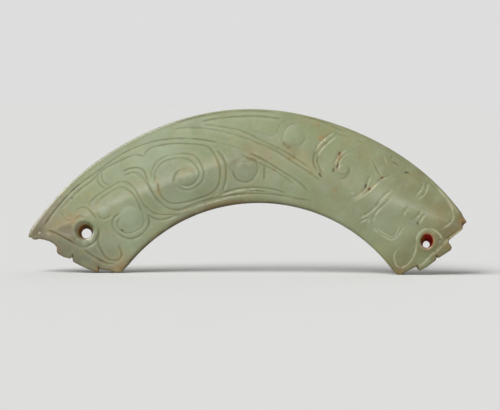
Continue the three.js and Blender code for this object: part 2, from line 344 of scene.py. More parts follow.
# the lines themselves, read from the photograph
carving = {
    # the rim border and the muzzle of the left head
    "borderOuter": ("line", [(43, 226.5), (50, 216), (60, 203.5), (70, 192.5), (80, 183.5), (95, 172.5),
        (110, 161.5), (125, 152), (140, 145.5), (155, 141), (175, 138.3), (199, 139.2), (218, 142.3)]),
    "borderGrime": ("gash", [(45, 224.3), (50, 216.5), (60, 203.8), (70, 192.8), (79, 184.6)]),
    "rimHair": ("line", [(176, 122.6), (190, 118.3), (207, 114.4), (226, 111.6), (250, 110.4),
        (276, 111.8)]),
    "borderTail": ("hair", [(218, 142.3), (230, 145), (248, 150)]),
    "borderInner": ("line", [(60, 208.5), (68, 200), (78, 190.5), (90, 181.5), (103, 169), (116, 162.5),
        (130, 156), (137, 154.8), (144, 156.5)]),
    "muzzleCurl": ("hair", [(60, 209), (62, 214), (66, 219), (72, 220)]),
    "mouthSlit": ("gash", [(47, 230), (55, 233), (63, 237), (72, 242)]),
    "eyeRim": ("ring", [(66, 238.5), (73, 242.5), (80, 246.2), (87, 246), (94, 242), (98, 235),
        (98.8, 228)]),
    "browOuter": ("fine", [(75, 213), (77, 209.5), (83, 206.8), (88.5, 209), (93, 214.5), (97, 219.5)]),
    "browInner": ("fine", [(73.5, 219.5), (80, 215.5), (86, 218.5)]),
    "beadRim": ("fine", [(96, 213), (99.5, 217.3), (104, 218.6), (108, 217), (111, 213.5)]),
    # the hooked curls between the left head and the eye
    "hookOuter": ("fine", [(98, 174), (97.4, 180), (100, 185), (107, 188.8)]),
    "hookInner": ("fine", [(102, 171.5), (101, 176), (104, 182.5), (111, 185)]),
    "dropOuter": ("fine", [(88, 205), (93, 198.5), (101, 192.5), (112, 185.5), (120, 181.3),
        (128, 182.5), (134, 188), (138.5, 196), (143, 204), (150, 211), (157, 214), (168, 214.8),
        (177, 214.2)]),
    "dropInner": ("fine", [(95.5, 204.5), (101, 198), (108, 193), (120, 187), (128, 189.5), (134, 195),
        (138.5, 204), (143, 217), (142, 225.5), (135, 231), (127, 233), (119.5, 229.5), (117, 222.5),
        (121, 216)]),
    "dropStem": ("hair", [(99, 205), (101, 203), (104, 202)]),
    "dropSocket": ("line", [(119.5, 212.5), (113, 218.5), (112.5, 227), (118, 233.5), (127, 238.3),
        (135, 237.5), (143, 232.5), (148, 225), (148.5, 218), (146, 213)]),
    "leafEdge": ("line", [(147, 214), (154, 218.5), (162, 219.7), (170, 217.3), (177, 215)]),
    "cheekLobe": ("ring", [(97.5, 236), (98, 243), (100, 248), (104, 255.5), (110, 260), (118, 260),
        (121.3, 254), (119, 247.5), (118.2, 244)]),
    "cheekEdge": ("line", [(83, 249), (89, 253.5), (96, 258), (107, 263.5), (115, 263)]),
    "cheekGrime": ("gash", [(96.5, 258.6), (101, 261), (106, 263)]),
    # a glint line: its chalk paints a highlight below the eye's rim
    "eyeRimGlint": ("faint", [(86, 247.8), (90, 246.8), (94, 244.4), (96.5, 241.4)]),
    # the large eye and its socket
    "lidUpper": ("line", [(122, 171.2), (131, 168), (139, 167.8), (144, 171), (147, 179), (149.5, 187),
        (155, 196.5), (161, 203.5), (169, 208.7), (179, 209.5), (189, 206), (199, 202.2), (215, 197.5),
        (223, 196.3)]),
    "lidLower": ("fine", [(123.5, 175), (133, 172), (140, 174.5), (146, 181.5), (150.5, 188)]),
    "irisOuter": ("fine", [(151, 178), (151.5, 171), (156, 162), (165, 156.3), (175, 153.7),
        (186, 153.2), (195, 156), (201, 164), (203.5, 174), (201, 181.5), (194, 187.7), (185, 189.5),
        (176, 185)]),
    "irisInner": ("fine", [(155, 181), (155, 172), (161, 163), (169, 159.3), (178, 157.8), (187, 158.5),
        (193.5, 162.5), (197.5, 169), (198.8, 174), (195.5, 180.5), (188, 185), (180, 184.6)]),
    "pupilRim": ("soft", [(174.5, 184), (173.5, 179), (176, 173), (181, 169.5), (189, 168)]),
    "socketInner": ("line", [(157, 182), (159.5, 192), (164.5, 199.5), (172, 203.3), (186, 201.7),
        (201, 197.3), (211, 193), (217.5, 186), (219.8, 176), (219.2, 166), (215, 155), (208, 147),
        (197, 144.2), (183, 143.3), (169, 143.7), (155, 146.3), (147, 150), (144, 156.5)]),
    "socketOuter": ("line", [(222.5, 191), (225.3, 180), (225.7, 167), (222.5, 157), (216, 149)]),
    # the long locks that sweep over the crown of the arch
    "lockTop": ("line", [(201, 121.3), (214, 118.8), (235, 116.5), (258, 116), (280, 118.5)]),
    "lockUpper": ("fine", [(203, 124), (222, 126.5), (242, 131), (262, 140.5), (281, 149.5), (300, 161),
        (307, 166)]),
    "lockLower": ("fine", [(172, 128.8), (190, 127.3), (215, 129.5), (240, 136), (257, 142.5),
        (276, 150.5), (293, 162), (310, 173), (320, 181)]),
    "strandUpper": ("line", [(250, 153), (262, 159), (275, 167), (287, 174.5), (298, 181.5), (307, 190)]),
    "strandLower": ("fine", [(240, 154), (252, 160), (268, 167), (280, 174), (294, 184)]),
    "smallDisc": ("line", [(251.5, 157.5), (255, 160.5), (256.4, 164), (257, 170), (252, 179.3),
        (244, 182), (236, 178.5), (232.5, 170)]),
    "smallDiscEcho": ("ring", [(263.6, 163), (264.4, 170), (263.6, 181)]),
    "archBorder": ("ring", [(223, 192.5), (236, 188.8), (247, 187.5), (259, 187.3), (273, 189.3),
        (285, 193)]),
    "archBorderHair": ("fine", [(247, 190.7), (256, 191), (268, 192)]),
    "archEdge": ("line", [(213, 199.2), (222, 197), (230, 195.4), (240, 193.9), (250, 193.3),
        (262, 193.5), (273, 194.2), (287, 196.5), (300, 199), (310, 200.5)]),
    # glint lines: shallow cuts whose chalk paints highlights on the lit lower edges of the grooves beside
    # them
    "archBorderGlint": ("scratch", [(221, 196), (228, 193.6), (234, 191.9), (240, 190.6), (248, 189.7),
        (256, 189.6)]),
    "archEdgeGlint": ("scratch", [(193, 207.6), (200, 205.6), (207, 203.6), (215, 201.4), (222, 199.4),
        (230, 197.3), (238, 196), (248, 195.3)]),
    "lidGlint": ("faint", [(174, 212.9), (182, 211.6), (189, 209.6), (196, 207.2)]),
    "leafGlint": ("faint", [(161, 221.6), (168, 219.9), (173, 218), (177, 216.4)]),
    "socketGlint": ("faint", [(223.8, 191.5), (225.6, 188), (226.9, 183)]),
    "socketGlintLow": ("faint", [(213.5, 197.2), (216.6, 194.6), (219.2, 190.8)]),
    # the disc, curl and spiral right of the crown
    "discOuter": ("hair", [(285, 119.5), (279.5, 125), (275.5, 132.5), (270, 135.2), (259, 132),
        (251, 131)]),
    "discInner": ("hair", [(296, 121.5), (288, 126.5), (283.5, 133), (281.5, 140), (286, 145),
        (292, 149.3)]),
    "rimScratch": ("hair", [(303, 116.5), (318, 120.5), (332, 126), (345, 132)]),
    "crossScratch": ("hair", [(384, 155.5), (385.5, 160), (388, 166)]),
    "discRight": ("hair", [(304.5, 133), (304.5, 139), (299, 145.5)]),
    "curlOuter": ("score", [(334, 133), (328, 136.5), (319, 145), (315.4, 151.3)]),
    "curlOuterLow": ("line", [(316.2, 149.6), (313.6, 155), (313.1, 161), (314.4, 166), (317, 170.5)]),
    "curlInner": ("score", [(337, 136.5), (327, 143.8), (320, 152), (318, 157)]),
    "curlInnerLow": ("line", [(318.8, 154.8), (317, 160), (319.5, 169), (322, 174)]),
    "curlTop": ("hair", [(334, 133.5), (342, 135), (350, 137)]),
    "spiralOuter": ("score", [(347, 150), (340, 155), (336.3, 161), (335.5, 168)]),
    "spiralInner": ("scratch", [(349, 152.5), (342, 158.5), (339.3, 165), (339.5, 170)]),
    "spiralHook": ("fine", [(347.5, 164.5), (349.5, 170), (347, 175.5), (343, 177.8), (338.5, 177.5)]),
    # the diagonal bands and the square drop
    "bandUpper": ("score", [(352, 199), (360, 195), (365.5, 189), (369, 181.5), (371, 176)]),
    "bandLower": ("scratch", [(354, 201), (365, 195), (374, 187.5), (379, 182.3), (383, 179.3),
        (387, 177.6), (393, 175.5)]),
    "bandCrack": ("crack", [(372.5, 161), (377, 170), (380, 176)]),
    "squareOuter": ("score", [(359, 218.7), (368, 214.3), (376, 207), (384, 197), (391.5, 191)]),
    "squareInner": ("scratch", [(374, 222), (375.5, 215), (383, 206.3), (393.5, 196)]),
    "squareFoot": ("scratch", [(360, 223.5), (368, 219.5), (368.5, 225)]),
    "squareBase": ("faint", [(377, 228), (385, 234), (392, 237.2), (397, 233), (399.8, 226)]),
    "squareBaseOuter": ("faint", [(372.5, 228), (381, 234.5), (391, 240), (398, 236), (404.5, 226)]),
    # the right head
    "smallCurl": ("scratch", [(409, 207.5), (405.3, 212), (404, 217)]),
    "browDashUpper": ("scratch", [(424.3, 182.5), (422, 190), (416, 196.5)]),
    "browDashLower": ("scratch", [(428.6, 183.5), (426, 193), (419, 200)]),
    "lidDashUpper": ("score", [(421, 210.5), (419, 215), (416.5, 219)]),
    "lidDashLower": ("scratch", [(426, 213.5), (422.5, 218.8), (418.8, 224.2)]),
    "muzzleEdge": ("score", [(438, 189), (447, 199), (452, 208), (453.5, 217), (449.5, 224),
        (440.5, 229.3)]),
    "boreRim": ("score", [(429.5, 228.7), (424.7, 229.1), (421.5, 230.9), (418.8, 234), (416.7, 239),
        (415.9, 249.8), (414, 255.5), (411, 261), (407, 265.5), (400.5, 269)]),
    "boreRimTop": ("scratch", [(442.4, 240.4), (441.3, 236.9), (438.8, 233.4), (434.7, 230.4),
        (430, 228.8)]),
    "lipFold": ("hair", [(438.3, 246), (438, 242), (440, 239.6), (443, 240)]),
    # its chalk paints a highlight along the right rim
    "rimGlint": ("faint", [(424, 175.5), (433, 183.8), (443, 193.5), (452, 204), (459.5, 215)]),
    "endCrease": ("crack", [(446, 238.6), (448.6, 237.4), (453, 234.1), (459.6, 229.2)]),
    # its chalk paints a highlight along the right snout's edge
    "endGlint": ("faint", [(449.3, 238.9), (454.4, 234.9), (461.2, 229.2)]),
    "flecksUpper": ("hair", [(354.5, 140.4), (359, 141), (363, 142.4), (366, 144.6)]),
    "nickUpper": ("fine", [(392.6, 153.4), (391.5, 156.4), (389.5, 160)]),
    "nickLower": ("fine", [(391.3, 161.2), (395, 163.2), (399.5, 166)]),
    "tipChip": ("hair", [(37.8, 231.2), (39.2, 233.3), (41, 232.4)]),
    "jawLobe": ("faint", [(398.5, 248.5), (394.5, 256), (396.5, 265), (401, 268.5)]),
    "jawLine": ("groove", [(449.5, 239), (446.9, 241.1), (443.6, 243.2), (441.3, 246.1), (439, 249.3),
        (436.2, 251.6), (432.2, 253.7), (429.5, 256.4), (426.9, 259.3), (424, 262.3), (420.8, 264.8),
        (417.8, 266.6)]),
}

# dark grit left in pits and corners of the cuts, and painted shade in the notches of the lower edges
gritAndNickShade = [
    [(337.3, 164.6), (336.7, 167)], [(333.4, 168.4), (332.9, 171.5)], [(319.2, 173.5), (320.6, 176)],
    [(366, 184.5), (365.2, 187)], [(405.6, 172.4), (408.2, 172.4)], [(417.3, 222.4), (417.7, 223.6)],
    [(121.6, 229.6), (122.2, 230.2)], [(71, 197.7), (71.6, 198.1)], [(464.2, 222.8), (463.2, 224.4)],
    # the six specks below are painted shade in the notches
    [(448.8, 241.2), (449, 242.4)], [(436.6, 255.4), (437, 256.6)], [(417.2, 266), (417.8, 267.4)],
    [(72.2, 254.8), (72.6, 256.6)], [(97.5, 266.9), (98.3, 268.3)], [(97.9, 267.2), (98.6, 268.6)],
]
# and where it is orange or brown
stainedGrit = [
    [(381.5, 177.6), (382.3, 177.3)], [(369.4, 188.4), (368.6, 189.6)], [(339.6, 152.6), (339, 153.8)],
    [(462.5, 221.4), (462.7, 222)], [(462.1, 223.4), (462.3, 223.9)],
]

# what has stayed in the cuts: pale chalky residue or brown, and an olive patina in all the others. The
# chalk
# also paints highlights: the lit walls of the right half's cuts, and the glint lines along lit edges
residue = {
    "chalkAndHighlight": ("curlOuter", "curlInner", "spiralOuter", "spiralInner", "bandUpper", "bandLower",
        "squareOuter", "squareInner", "squareFoot", "squareBase", "squareBaseOuter", "smallCurl",
        "browDashUpper", "browDashLower", "lidDashUpper", "lidDashLower", "muzzleEdge", "boreRim",
        "boreRimTop", "jawLobe", "jawLine", "crossScratch", "rimGlint", "tipChip", "endGlint",
        "archBorderGlint", "archEdgeGlint", "socketGlint", "socketGlintLow", "eyeRimGlint", "lidGlint",
        "leafGlint"),
    "brown": ("mouthSlit", "borderGrime", "cheekGrime", "rimScratch", "archBorderHair", "endCrease",
        "lipFold", "nickLower"),
    "rustAndNickShade": ("gritAndNickShade", "stainedGrit"),
}
residues = ("olive", "chalkAndHighlight", "brown", "rustAndNickShade", "halo", "rubbedAndHighlight")

# Each cut falls steeply on its upper left side and slopes wide on the lower right one
slope = {
    "towards": (0.62, -0.78),
    "lean": 0.38,
    # how far up the slope each kind of cut lies
    "rise": {"chalkAndHighlight": 0.12, "olive": -0.12, "brown": 0, "rustAndNickShade": 0},
}
cutShape = {
    "step": 0.12,
    "samples": 24,           # to each piece of a curve, before it is cut into even steps
    "fadeFrom": -0.3,        # a line starts at a little more than no depth
    "hand": (0.35, 0.35, 3.1),       # how much its depth wavers, with the pace and seed of the noise
    "power": 1.15,
    "crossing": 0.25,        # how much deeper it is where two cross
    "filled": 0.75,          # the share of its half width that residue fills
    "speckPower": 0.4,
    "halo": 0.34,            # how far the orange stain round each speck of grit reaches
}
# Beside a cut that holds chalk its upper left edge has painted shade, and the edges of the others are
# rubbed paler, with a painted highlight that is stronger on the side towards the light
shaded = {"at": 0.4, "half": 0.22, "side": (0.4, 0.1)}
rubbedAndHighlight = {"at": 0.62, "half": 0.3}
batchSize = 4000             # points are compared with a line in batches, to save memory


def curveThrough(points, step):
    # a smooth curve through the points, at even steps
    padded = np.vstack([2 * points[0] - points[1], points, 2 * points[-1] - points[-2]])
    pieces = []
    for a, b, c, d in zip(padded, padded[1:], padded[2:], padded[3:]):
        t = np.linspace(0, 1, cutShape["samples"], endpoint=False)[:, None]
        pieces.append(0.5 * (2 * b + (c - a) * t + (2 * a - 5 * b + 4 * c - d) * t ** 2
                             + (3 * b - a - 3 * c + d) * t ** 3))
    return resample(np.vstack(pieces + [points[-1:]]), step)


def makeStrokes():
    made = []
    lines = list(carving.items())
    for name, specks in (("gritAndNickShade", gritAndNickShade), ("stainedGrit", stainedGrit)):
        lines += [(name, ("speck", pixels)) for pixels in specks]
    waver, pace, seed = cutShape["hand"]
    for name, (kind, pixels) in lines:
        half, deep, fade = cuts[kind]
        kept = next((kind for kind, names in residue.items() if name in names), "olive")
        path = curveThrough(onFace(pixels), cutShape["step"])
        path = path - np.array(slope["towards"]) * slope["rise"][kept]
        run = np.arange(len(path)) * cutShape["step"]
        fading = smoothstep(cutShape["fadeFrom"], fade, np.minimum(run, run[-1] - run))
        made.append({
            "path": path,
            "lean": np.array(slope["towards"]) * slope["lean"],
            "half": half,
            "deep": deep,
            "strength": fading * (1 + waver * wander(path, pace, seed)),
            "residue": kept,
            "halo": name == "stainedGrit",
        })
    return made


strokes = makeStrokes()
print("carving", len(strokes), "lines,", sum(len(stroke["path"]) for stroke in strokes), "samples")


def residueAt(stroke, gap, strength, profile, lower):
    # how much of each residue a line leaves at this distance from it, with the painted shade and highlight
    # beside it
    if stroke["residue"] == "rustAndNickShade":
        return {"rustAndNickShade": strength * profile ** cutShape["speckPower"],
                "halo": stroke["halo"] * bell(gap, cutShape["halo"])}
    full = np.clip(strength, 0, 1) * min(1, stroke["deep"] / cuts["line"][1])
    left = {stroke["residue"]: full * bell(gap, cutShape["filled"] * stroke["half"])}
    if stroke["residue"] == "chalkAndHighlight":
        # painted shade: olive on the edge of a chalked cut that faces away from the light
        left["olive"] = full * bell(gap - shaded["at"], shaded["half"]) * smoothstep(*shaded["side"], lower)
    else:
        # painted highlight with rubbed wear: a paler band beside the cut, stronger on the side towards the
        # light
        left["rubbedAndHighlight"] = full * bell(gap - rubbedAndHighlight["at"], rubbedAndHighlight["half"]) * (0.5 + 0.5 * lower)
    return left


def carve(points):
    # how deep the carved lines go at each point, and how much of each residue and of the painted shade and
    # highlight lies there
    total = np.zeros(len(points))
    kept = {name: np.zeros(len(points)) for name in residues}
    reach = rubbedAndHighlight["at"] + 2 * rubbedAndHighlight["half"]
    for stroke in strokes:
        path = stroke["path"]
        inside = np.nonzero(((points > path.min(0) - reach) & (points < path.max(0) + reach)).all(1))[0]
        for part in np.array_split(inside, max(1, len(inside) // batchSize)):
            away = points[part][:, None, :] - path[None, :, :]
            length = np.linalg.norm(away, axis=2)
            near = length.argmin(1)
            rows = np.arange(len(part))
            gap = length[rows, near]
            direction = away[rows, near] / np.maximum(gap, 1e-6)[:, None]
            half = stroke["half"] * (1 + direction @ stroke["lean"])
            profile = np.clip(1 - gap / half, 0, 1) ** cutShape["power"]
            strength = stroke["strength"][near]
            depth = stroke["deep"] * strength * profile
            before = total[part]
            total[part] = np.maximum(before, depth) + cutShape["crossing"] * np.minimum(before, depth)
            lower = 0.5 + 0.5 * direction @ np.array(slope["towards"])   # 1 on the side towards the light
            for name, amount in residueAt(stroke, gap, strength, profile, lower).items():
                kept[name][part] = np.maximum(kept[name][part], amount)
    return total, kept


# the carved face: a roof-like crown, low bosses and the cut lines

# The crest runs near the middle of the band, and out to the rim at both tips. Degrees on the arc, its share
# of the band, and how much of each slope its rounding takes up
crest = {
    "angles": (
        30, 36, 38.9, 41.7, 44.7, 49.2, 54.4, 60, 66, 77.7, 88, 92, 97, 102, 107.5, 114, 119, 127.5, 133,
        138, 142.4, 146, 149, 155,
    ),
    "shares": (
        0.96, 0.89, 0.79, 0.7, 0.625, 0.54, 0.45, 0.405, 0.41, 0.46, 0.51, 0.5, 0.46, 0.435, 0.415, 0.42,
        0.437, 0.51, 0.575, 0.66, 0.76, 0.84, 0.94, 0.97,
    ),
    "rounding": (
        0.3, 0.3, 0.3, 0.32, 0.35, 0.4, 0.5, 0.7, 0.8, 0.7, 0.35, 0.25, 0.2, 0.18, 0.18, 0.18, 0.18,
        0.18, 0.18, 0.18, 0.2, 0.22, 0.25, 0.3,
    ),
    "steps": 800,
    "blend": 41,
    # an outer slope narrower than the first share drops less, down to the second share of the fall
    "narrow": (0.4, 0.2),
}

bosses = {
    "pupil": {"at": (187, 176), "radius": 2.6, "height": 0.15},
    "bead": {"at": (103, 210.5), "radius": 1.9, "height": 0.05},
    "largeDisc": {"at": (293, 136), "radius": 3.0, "height": 0.16},
    "smallDisc": {"at": (245, 170), "radius": 2.8, "height": 0.14},
    "drop": {"at": (130, 218), "radius": 3.2, "height": 0.12},
    "spiralEye": {"at": (343, 170), "radius": 1.6, "height": 0.14},
    "smallCurl": {"at": (410, 214), "radius": 1.6, "height": 0.1},
}
# each is flat out to a share of its radius, with a shallow moat round it
bossShape = {"flat": 0.45, "moat": 0.25, "moatHalf": 0.2}

# the sunk inner corner of the left eye, between two places
hollow = {"from": (64, 231), "to": (72, 231.5), "radius": 1.5, "depth": 0.1, "floor": 0.3}

# the unevenness of the ground faces: height, pace and seed
faceWaves = ((0.02, 0.16, 7.7), (0.006, 0.7, 1.7))
backWave = (0.02, 0.1, 21.0)


def bandShare(points):
    # 0 on the inner rim's circle and 1 on the outer rim's
    toInner = distanceTo(points, plate["innerCentre"]) - plate["innerRadius"]
    toOuter = plate["outerRadius"] - distanceTo(points, plate["outerCentre"])
    return np.clip(toInner / (toInner + toOuter), 0, 1)


def alongCrest(angle, values):
    # a smooth line through the values given at the crest's angles
    turns = np.linspace(crest["angles"][0], crest["angles"][-1], crest["steps"])
    window = np.hanning(crest["blend"])
    padded = np.pad(np.interp(turns, crest["angles"], values), crest["blend"] // 2, mode="edge")
    return np.interp(angle, turns, np.convolve(padded, window / window.sum(), mode="valid"))


def crownDrop(points):
    # how far the face has fallen from its crest, from 0 to 1: two slopes with a rounded ridge between them
    share = bandShare(points)
    turn = np.degrees(angleOf(points, plate["outerCentre"]))
    top = alongCrest(turn, crest["shares"])
    ridge = alongCrest(turn, crest["rounding"])
    side = np.where(share < top, (share - top) / top, (share - top) / (1 - top))
    fall = (np.sqrt(side ** 2 + ridge ** 2) - ridge) / (np.sqrt(1 + ridge ** 2) - ridge)
    narrow, least = crest["narrow"]
    return fall * np.where(share > top, np.clip((1 - top) / narrow, least, 1), 1)


def rounding(distance, radius):
    # how far a rounded edge has fallen away at this distance from the outline
    inside = np.clip(distance / radius, 0, 1)
    return radius * (1 - np.sqrt(np.clip(1 - (1 - inside) ** 2, 0, 1)))


def makeEdgeRadius():
    # the edge's rounding: widest along the inner rim, smaller on the outer rim and the ends
    toInner = np.abs(distanceTo(outline, plate["innerCentre"]) - plate["innerRadius"])
    angle = angleOf(outline, plate["outerCentre"])
    toOuter = np.abs(distanceTo(outline, plate["outerCentre"]) - outerRimRadius(angle))
    radius = np.full(outlineSize, plate["endRound"])
    onRim = plate["outlineStep"] / 2
    radius[toInner < onRim] = plate["innerRound"]
    radius[toOuter < onRim] = plate["outerRound"]
    return blurred(radius, np.hanning(plate["roundBlend"]))


edgeRadius = makeEdgeRadius()
for boss in bosses.values():
    boss["centre"] = spotOnFace(boss["at"])
hollow["ends"] = onFace([hollow["from"], hollow["to"]])


def faceY(points, distance, near, cutInto):
    # the height of the carved face: its lowest y is the crest
    y = plate["frontY"] + (plate["rimY"] - plate["frontY"]) * crownDrop(points)
    for boss in bosses.values():
        gap = distanceTo(points, boss["centre"]) / boss["radius"]
        moat = bossShape["moat"] * bell(gap - 1, bossShape["moatHalf"])
        y -= boss["height"] * (1 - smoothstep(bossShape["flat"], 1, gap) - moat)
    start, end = hollow["ends"]
    run = end - start
    share = np.clip((points - start) @ run / (run @ run), 0, 1)
    gap = distanceTo(points, start + share[:, None] * run) / hollow["radius"]
    y += hollow["depth"] * smoothstep(1, hollow["floor"], gap)
    for bore in bores.values():
        gap = boreGap(points, (bore["centre"] + bore["mouthCentre"]) / 2, bore)
        lip = np.clip(1 - ((gap - bore["lipRadius"]) / bore["lipHalf"]) ** 2, 0, 1)
        y -= bore["lipHeight"] * lip ** boreShape["lipPower"]
        y += bore["flareDepth"] * funnel(points, bore) ** boreShape["flarePower"]
    y += cutInto
    for height, pace, seed in faceWaves:
        y += height * wander(points, pace, seed)
    return y + rounding(distance, edgeRadius[near])


# the mesh's points: dense along the rim and the cuts, sparse between them, each kind with the room it wants
spacing = {
    "rim": {"rows": (0.03, 0.12, 0.26, 0.45, 0.7, 1.0), "reach": 1.15, "room": 0.1},
    "flare": {"rows": (0.15, 0.35, 0.6, 0.85, 1.0), "room": 0.09},
    "lip": {"rows": (0.15, 0.4, 0.65, 0.9, 1.15, 1.4), "room": 0.15},
    "boss": {"rows": (0.4, 0.55, 0.7, 0.85, 1.0, 1.15, 1.3), "room": 0.15},
    "cut": {"rows": (0, -0.34, 0.34, -0.68, 0.68, -1.02, 1.02, -1.45, 1.45), "every": 2, "room": 0.085},
    "field": {"step": 0.36, "rise": 0.866, "shift": 0.5, "room": 0.216},
    "back": {"step": 0.5, "rise": 1, "shift": 0},
    "backRows": (0.12, 0.5, 1.0),
    "backClear": 1.5,        # how far the back's field stays inside, in times its rounding
    "backRowClear": 0.9,
    "exitClear": 0.5,
    "ringPoints": 96,
    "rimClear": 0.02,
    "throatClear": 0.05,
    "cell": 0.3,             # of the table that finds the nearest points
}


def fieldPoints(step, rise, shift):
    # a grid over the plate's box, with every other row moved along by a share of the step
    xs = np.arange(outline[:, 0].min(), outline[:, 0].max(), step)
    zs = np.arange(outline[:, 1].min(), outline[:, 1].max(), step * rise)
    gridX, gridZ = np.meshgrid(xs, zs)
    gridX = gridX + (np.arange(len(zs)) % 2)[:, None] * step * shift
    return np.stack([gridX.ravel(), gridZ.ravel()], axis=1)


def scatterPoints():
    # candidate points in order of rank, each batch with the room that its points want
    names = ("rim", "flare", "lip", "boss", "cut", "field")
    rim, flare, lip, around, cut, field = (spacing[name] for name in names)
    batches = [(outline + outlineInward * edgeRadius[:, None] * share * rim["reach"], rim["room"])
               for share in rim["rows"]]
    turn = np.linspace(0, 2 * np.pi, spacing["ringPoints"], endpoint=False)
    for bore in bores.values():
        for share in flare["rows"]:
            radius = bore["throatRadius"] + share * (bore["mouthRadius"] - bore["throatRadius"])
            middle = bore["centre"] + share * np.array(bore["mouthAside"])
            batches.append((boreRing(middle, radius, turn, bore), flare["room"]))
        for offset in lip["rows"]:
            ring = boreRing(bore["mouthCentre"], bore["mouthRadius"] + offset, turn, bore)
            batches.append((ring, lip["room"]))
    for boss in bosses.values():
        for share in around["rows"]:
            batches.append((polar(boss["centre"], boss["radius"] * share, turn), around["room"]))
    for row in cut["rows"]:
        for stroke in strokes:
            path = stroke["path"]
            ahead = np.gradient(path, axis=0)
            ahead /= np.linalg.norm(ahead, axis=1)[:, None]
            across = np.stack([-ahead[:, 1], ahead[:, 0]], axis=1)
            half = stroke["half"] * (1 + np.sign(row) * (across @ stroke["lean"]))
            batches.append(((path + across * (half * row)[:, None])[::cut["every"]], cut["room"]))
    batches.append((fieldPoints(field["step"], field["rise"], field["shift"]), field["room"]))
    return batches


def insideLoop(points, loop):
    # whether each point has an odd number of the loop's sides to its right
    inside = np.zeros(len(points), bool)
    for (x0, z0), (x1, z1) in zip(loop, np.roll(loop, -1, axis=0)):
        if z0 == z1:
            continue
        crosses = (z0 > points[:, 1]) != (z1 > points[:, 1])
        inside ^= crosses & (points[:, 0] < (x1 - x0) * (points[:, 1] - z0) / (z1 - z0) + x0)
    return inside


def crowded(table, column, row, x, z, room):
    for i in (column - 1, column, column + 1):
        for j in (row - 1, row, row + 1):
            for a, b in table.get((i, j), ()):
                if (a - x) ** 2 + (b - z) ** 2 < room * room:
                    return True
    return False


def thin(batches):
    # keeps a point only where no kept point is nearer than its room
    points = np.vstack([batch for batch, room in batches])
    rooms = np.concatenate([np.full(len(batch), room) for batch, room in batches])
    clear = insideLoop(points, outline)
    points, rooms = points[clear], rooms[clear]
    clear = nearestOutline(points)[0] > spacing["rimClear"]
    for bore in bores.values():
        clear &= boreGap(points, bore["centre"], bore) > bore["throatRadius"] + spacing["throatClear"]
    cell = spacing["cell"]
    kept = []
    table = {}
    for x, z in outline:
        table.setdefault((int(x // cell), int(z // cell)), []).append((x, z))
    for (x, z), room in zip(points[clear].tolist(), rooms[clear].tolist()):
        column, row = int(x // cell), int(z // cell)
        if not crowded(table, column, row, x, z, room):
            kept.append((x, z))
            table.setdefault((column, row), []).append((x, z))
    return np.array(kept)


frontPoints = thin(scatterPoints())
print("front points", len(frontPoints))


def triangulate(points, loops):
    # triangles over the points, inside the first loop and outside the others. The loops' points come first
    everything = np.vstack(list(loops) + [points])
    numbers = iter(range(len(everything)))
    constraints = [[next(numbers) for point in loop] for loop in loops]
    inLoops, nearEnough = 1, 1e-7
    result = delaunay_2d_cdt([Vector(p) for p in everything], [], constraints, inLoops, nearEnough)
    coords, faces, origins = result[0], result[2], result[3]
    assert len(coords) == len(everything), "the outline crosses itself"
    order = np.array([sources[0] for sources in origins])
    triangles = order[np.array([face for face in faces if len(face) == 3])]
    middles = everything[triangles].mean(axis=1)
    keep = insideLoop(middles, loops[0])
    for loop in loops[1:]:
        keep &= ~insideLoop(middles, loop)
    triangles = triangles[keep]
    corners = everything[triangles]
    area = np.cross(corners[:, 1] - corners[:, 0], corners[:, 2] - corners[:, 0])
    triangles[area < 0] = triangles[area < 0][:, ::-1]
    return everything, triangles


# grooves of the cord saw on the back: arcs about a far centre, each with its radius, half width and depth
sawMarks = {
    (70, -60): ((112, 0.8, 0.08), (121, 1.1, 0.09), (104, 0.6, 0.06), (88, 0.9, 0.08), (79, 0.6, 0.05),
                (95, 0.5, 0.04), (117, 0.5, 0.05)),
    (-80, -40): ((112, 0.7, 0.07),),
}
sawHand = (0.6, 0.06, 33.0)  # how strongly the saw bit, with the pace and seed of the noise
sawDirt = 0.1                # olive dirt fills a groove of this depth


def sawDepth(points):
    mean, pace, seed = sawHand
    hand = np.clip(mean + wander(points, pace, seed), 0, 1)
    total = np.zeros(len(points))
    for centre, arcs in sawMarks.items():
        for radius, half, depth in arcs:
            gap = np.abs(distanceTo(points, centre) - radius)
            total += depth * hand * smoothstep(half, 0, gap)
    return total


def backFaceY(points, distance):
    # the plain back: sawn flat and ground, with faint waves
    height, pace, seed = backWave
    wave = height * wander(points, pace, seed)
    ground = plate["backY"] - plate["backGround"]
    return ground + wave - rounding(distance, plate["backRound"]) - sawDepth(points)


# where each side lies in the flat picture of the whole surface
unwrap = {
    "scale": 0.96 / 110.4,
    "margin": 0.02,
    "backV": 0.4,
    "edgeV": 0.78,
    "edgeRise": 0.055,
    "edgeStrips": 3,
    "edgeRow": 0.6,
    "boreV": 0.95,
    "boreStep": 0.13,
}
# the ground edge between the two faces, with the tool's unevenness
edge = {"rows": 8, "hollow": 0.05, "even": 0.9, "waves": ((1, 0.5, 0.9), (0.5, 1.6, 2))}

places = []
faces = []
uvs = []


def addPoints(points):
    first = sum(len(part) for part in places)
    places.append(points)
    return np.arange(first, first + len(points))


def addFaces(corners, uv):
    faces.extend(corners.tolist())
    uvs.append(uv.reshape(-1, 2))


def addRings(rings, u, v, wide, tall, inward=False):
    # joins rings of points into a wall that looks outward, or inward as a bore's does. Each face's first
    # corner lies at u and v in the flat picture
    upper, lower = np.array(rings[:-1]), np.array(rings[1:])
    corners = [upper, lower, np.roll(lower, -1, axis=1), np.roll(upper, -1, axis=1)]
    flat = [(u, v), (u, v + tall), (u + wide, v + tall), (u + wide, v)]
    if inward:
        corners[1], corners[3] = corners[3], corners[1]
        flat[1], flat[3] = flat[3], flat[1]
    addFaces(np.stack([corner.ravel() for corner in corners], axis=1),
             np.stack([np.stack(corner, axis=1) for corner in flat], axis=1))


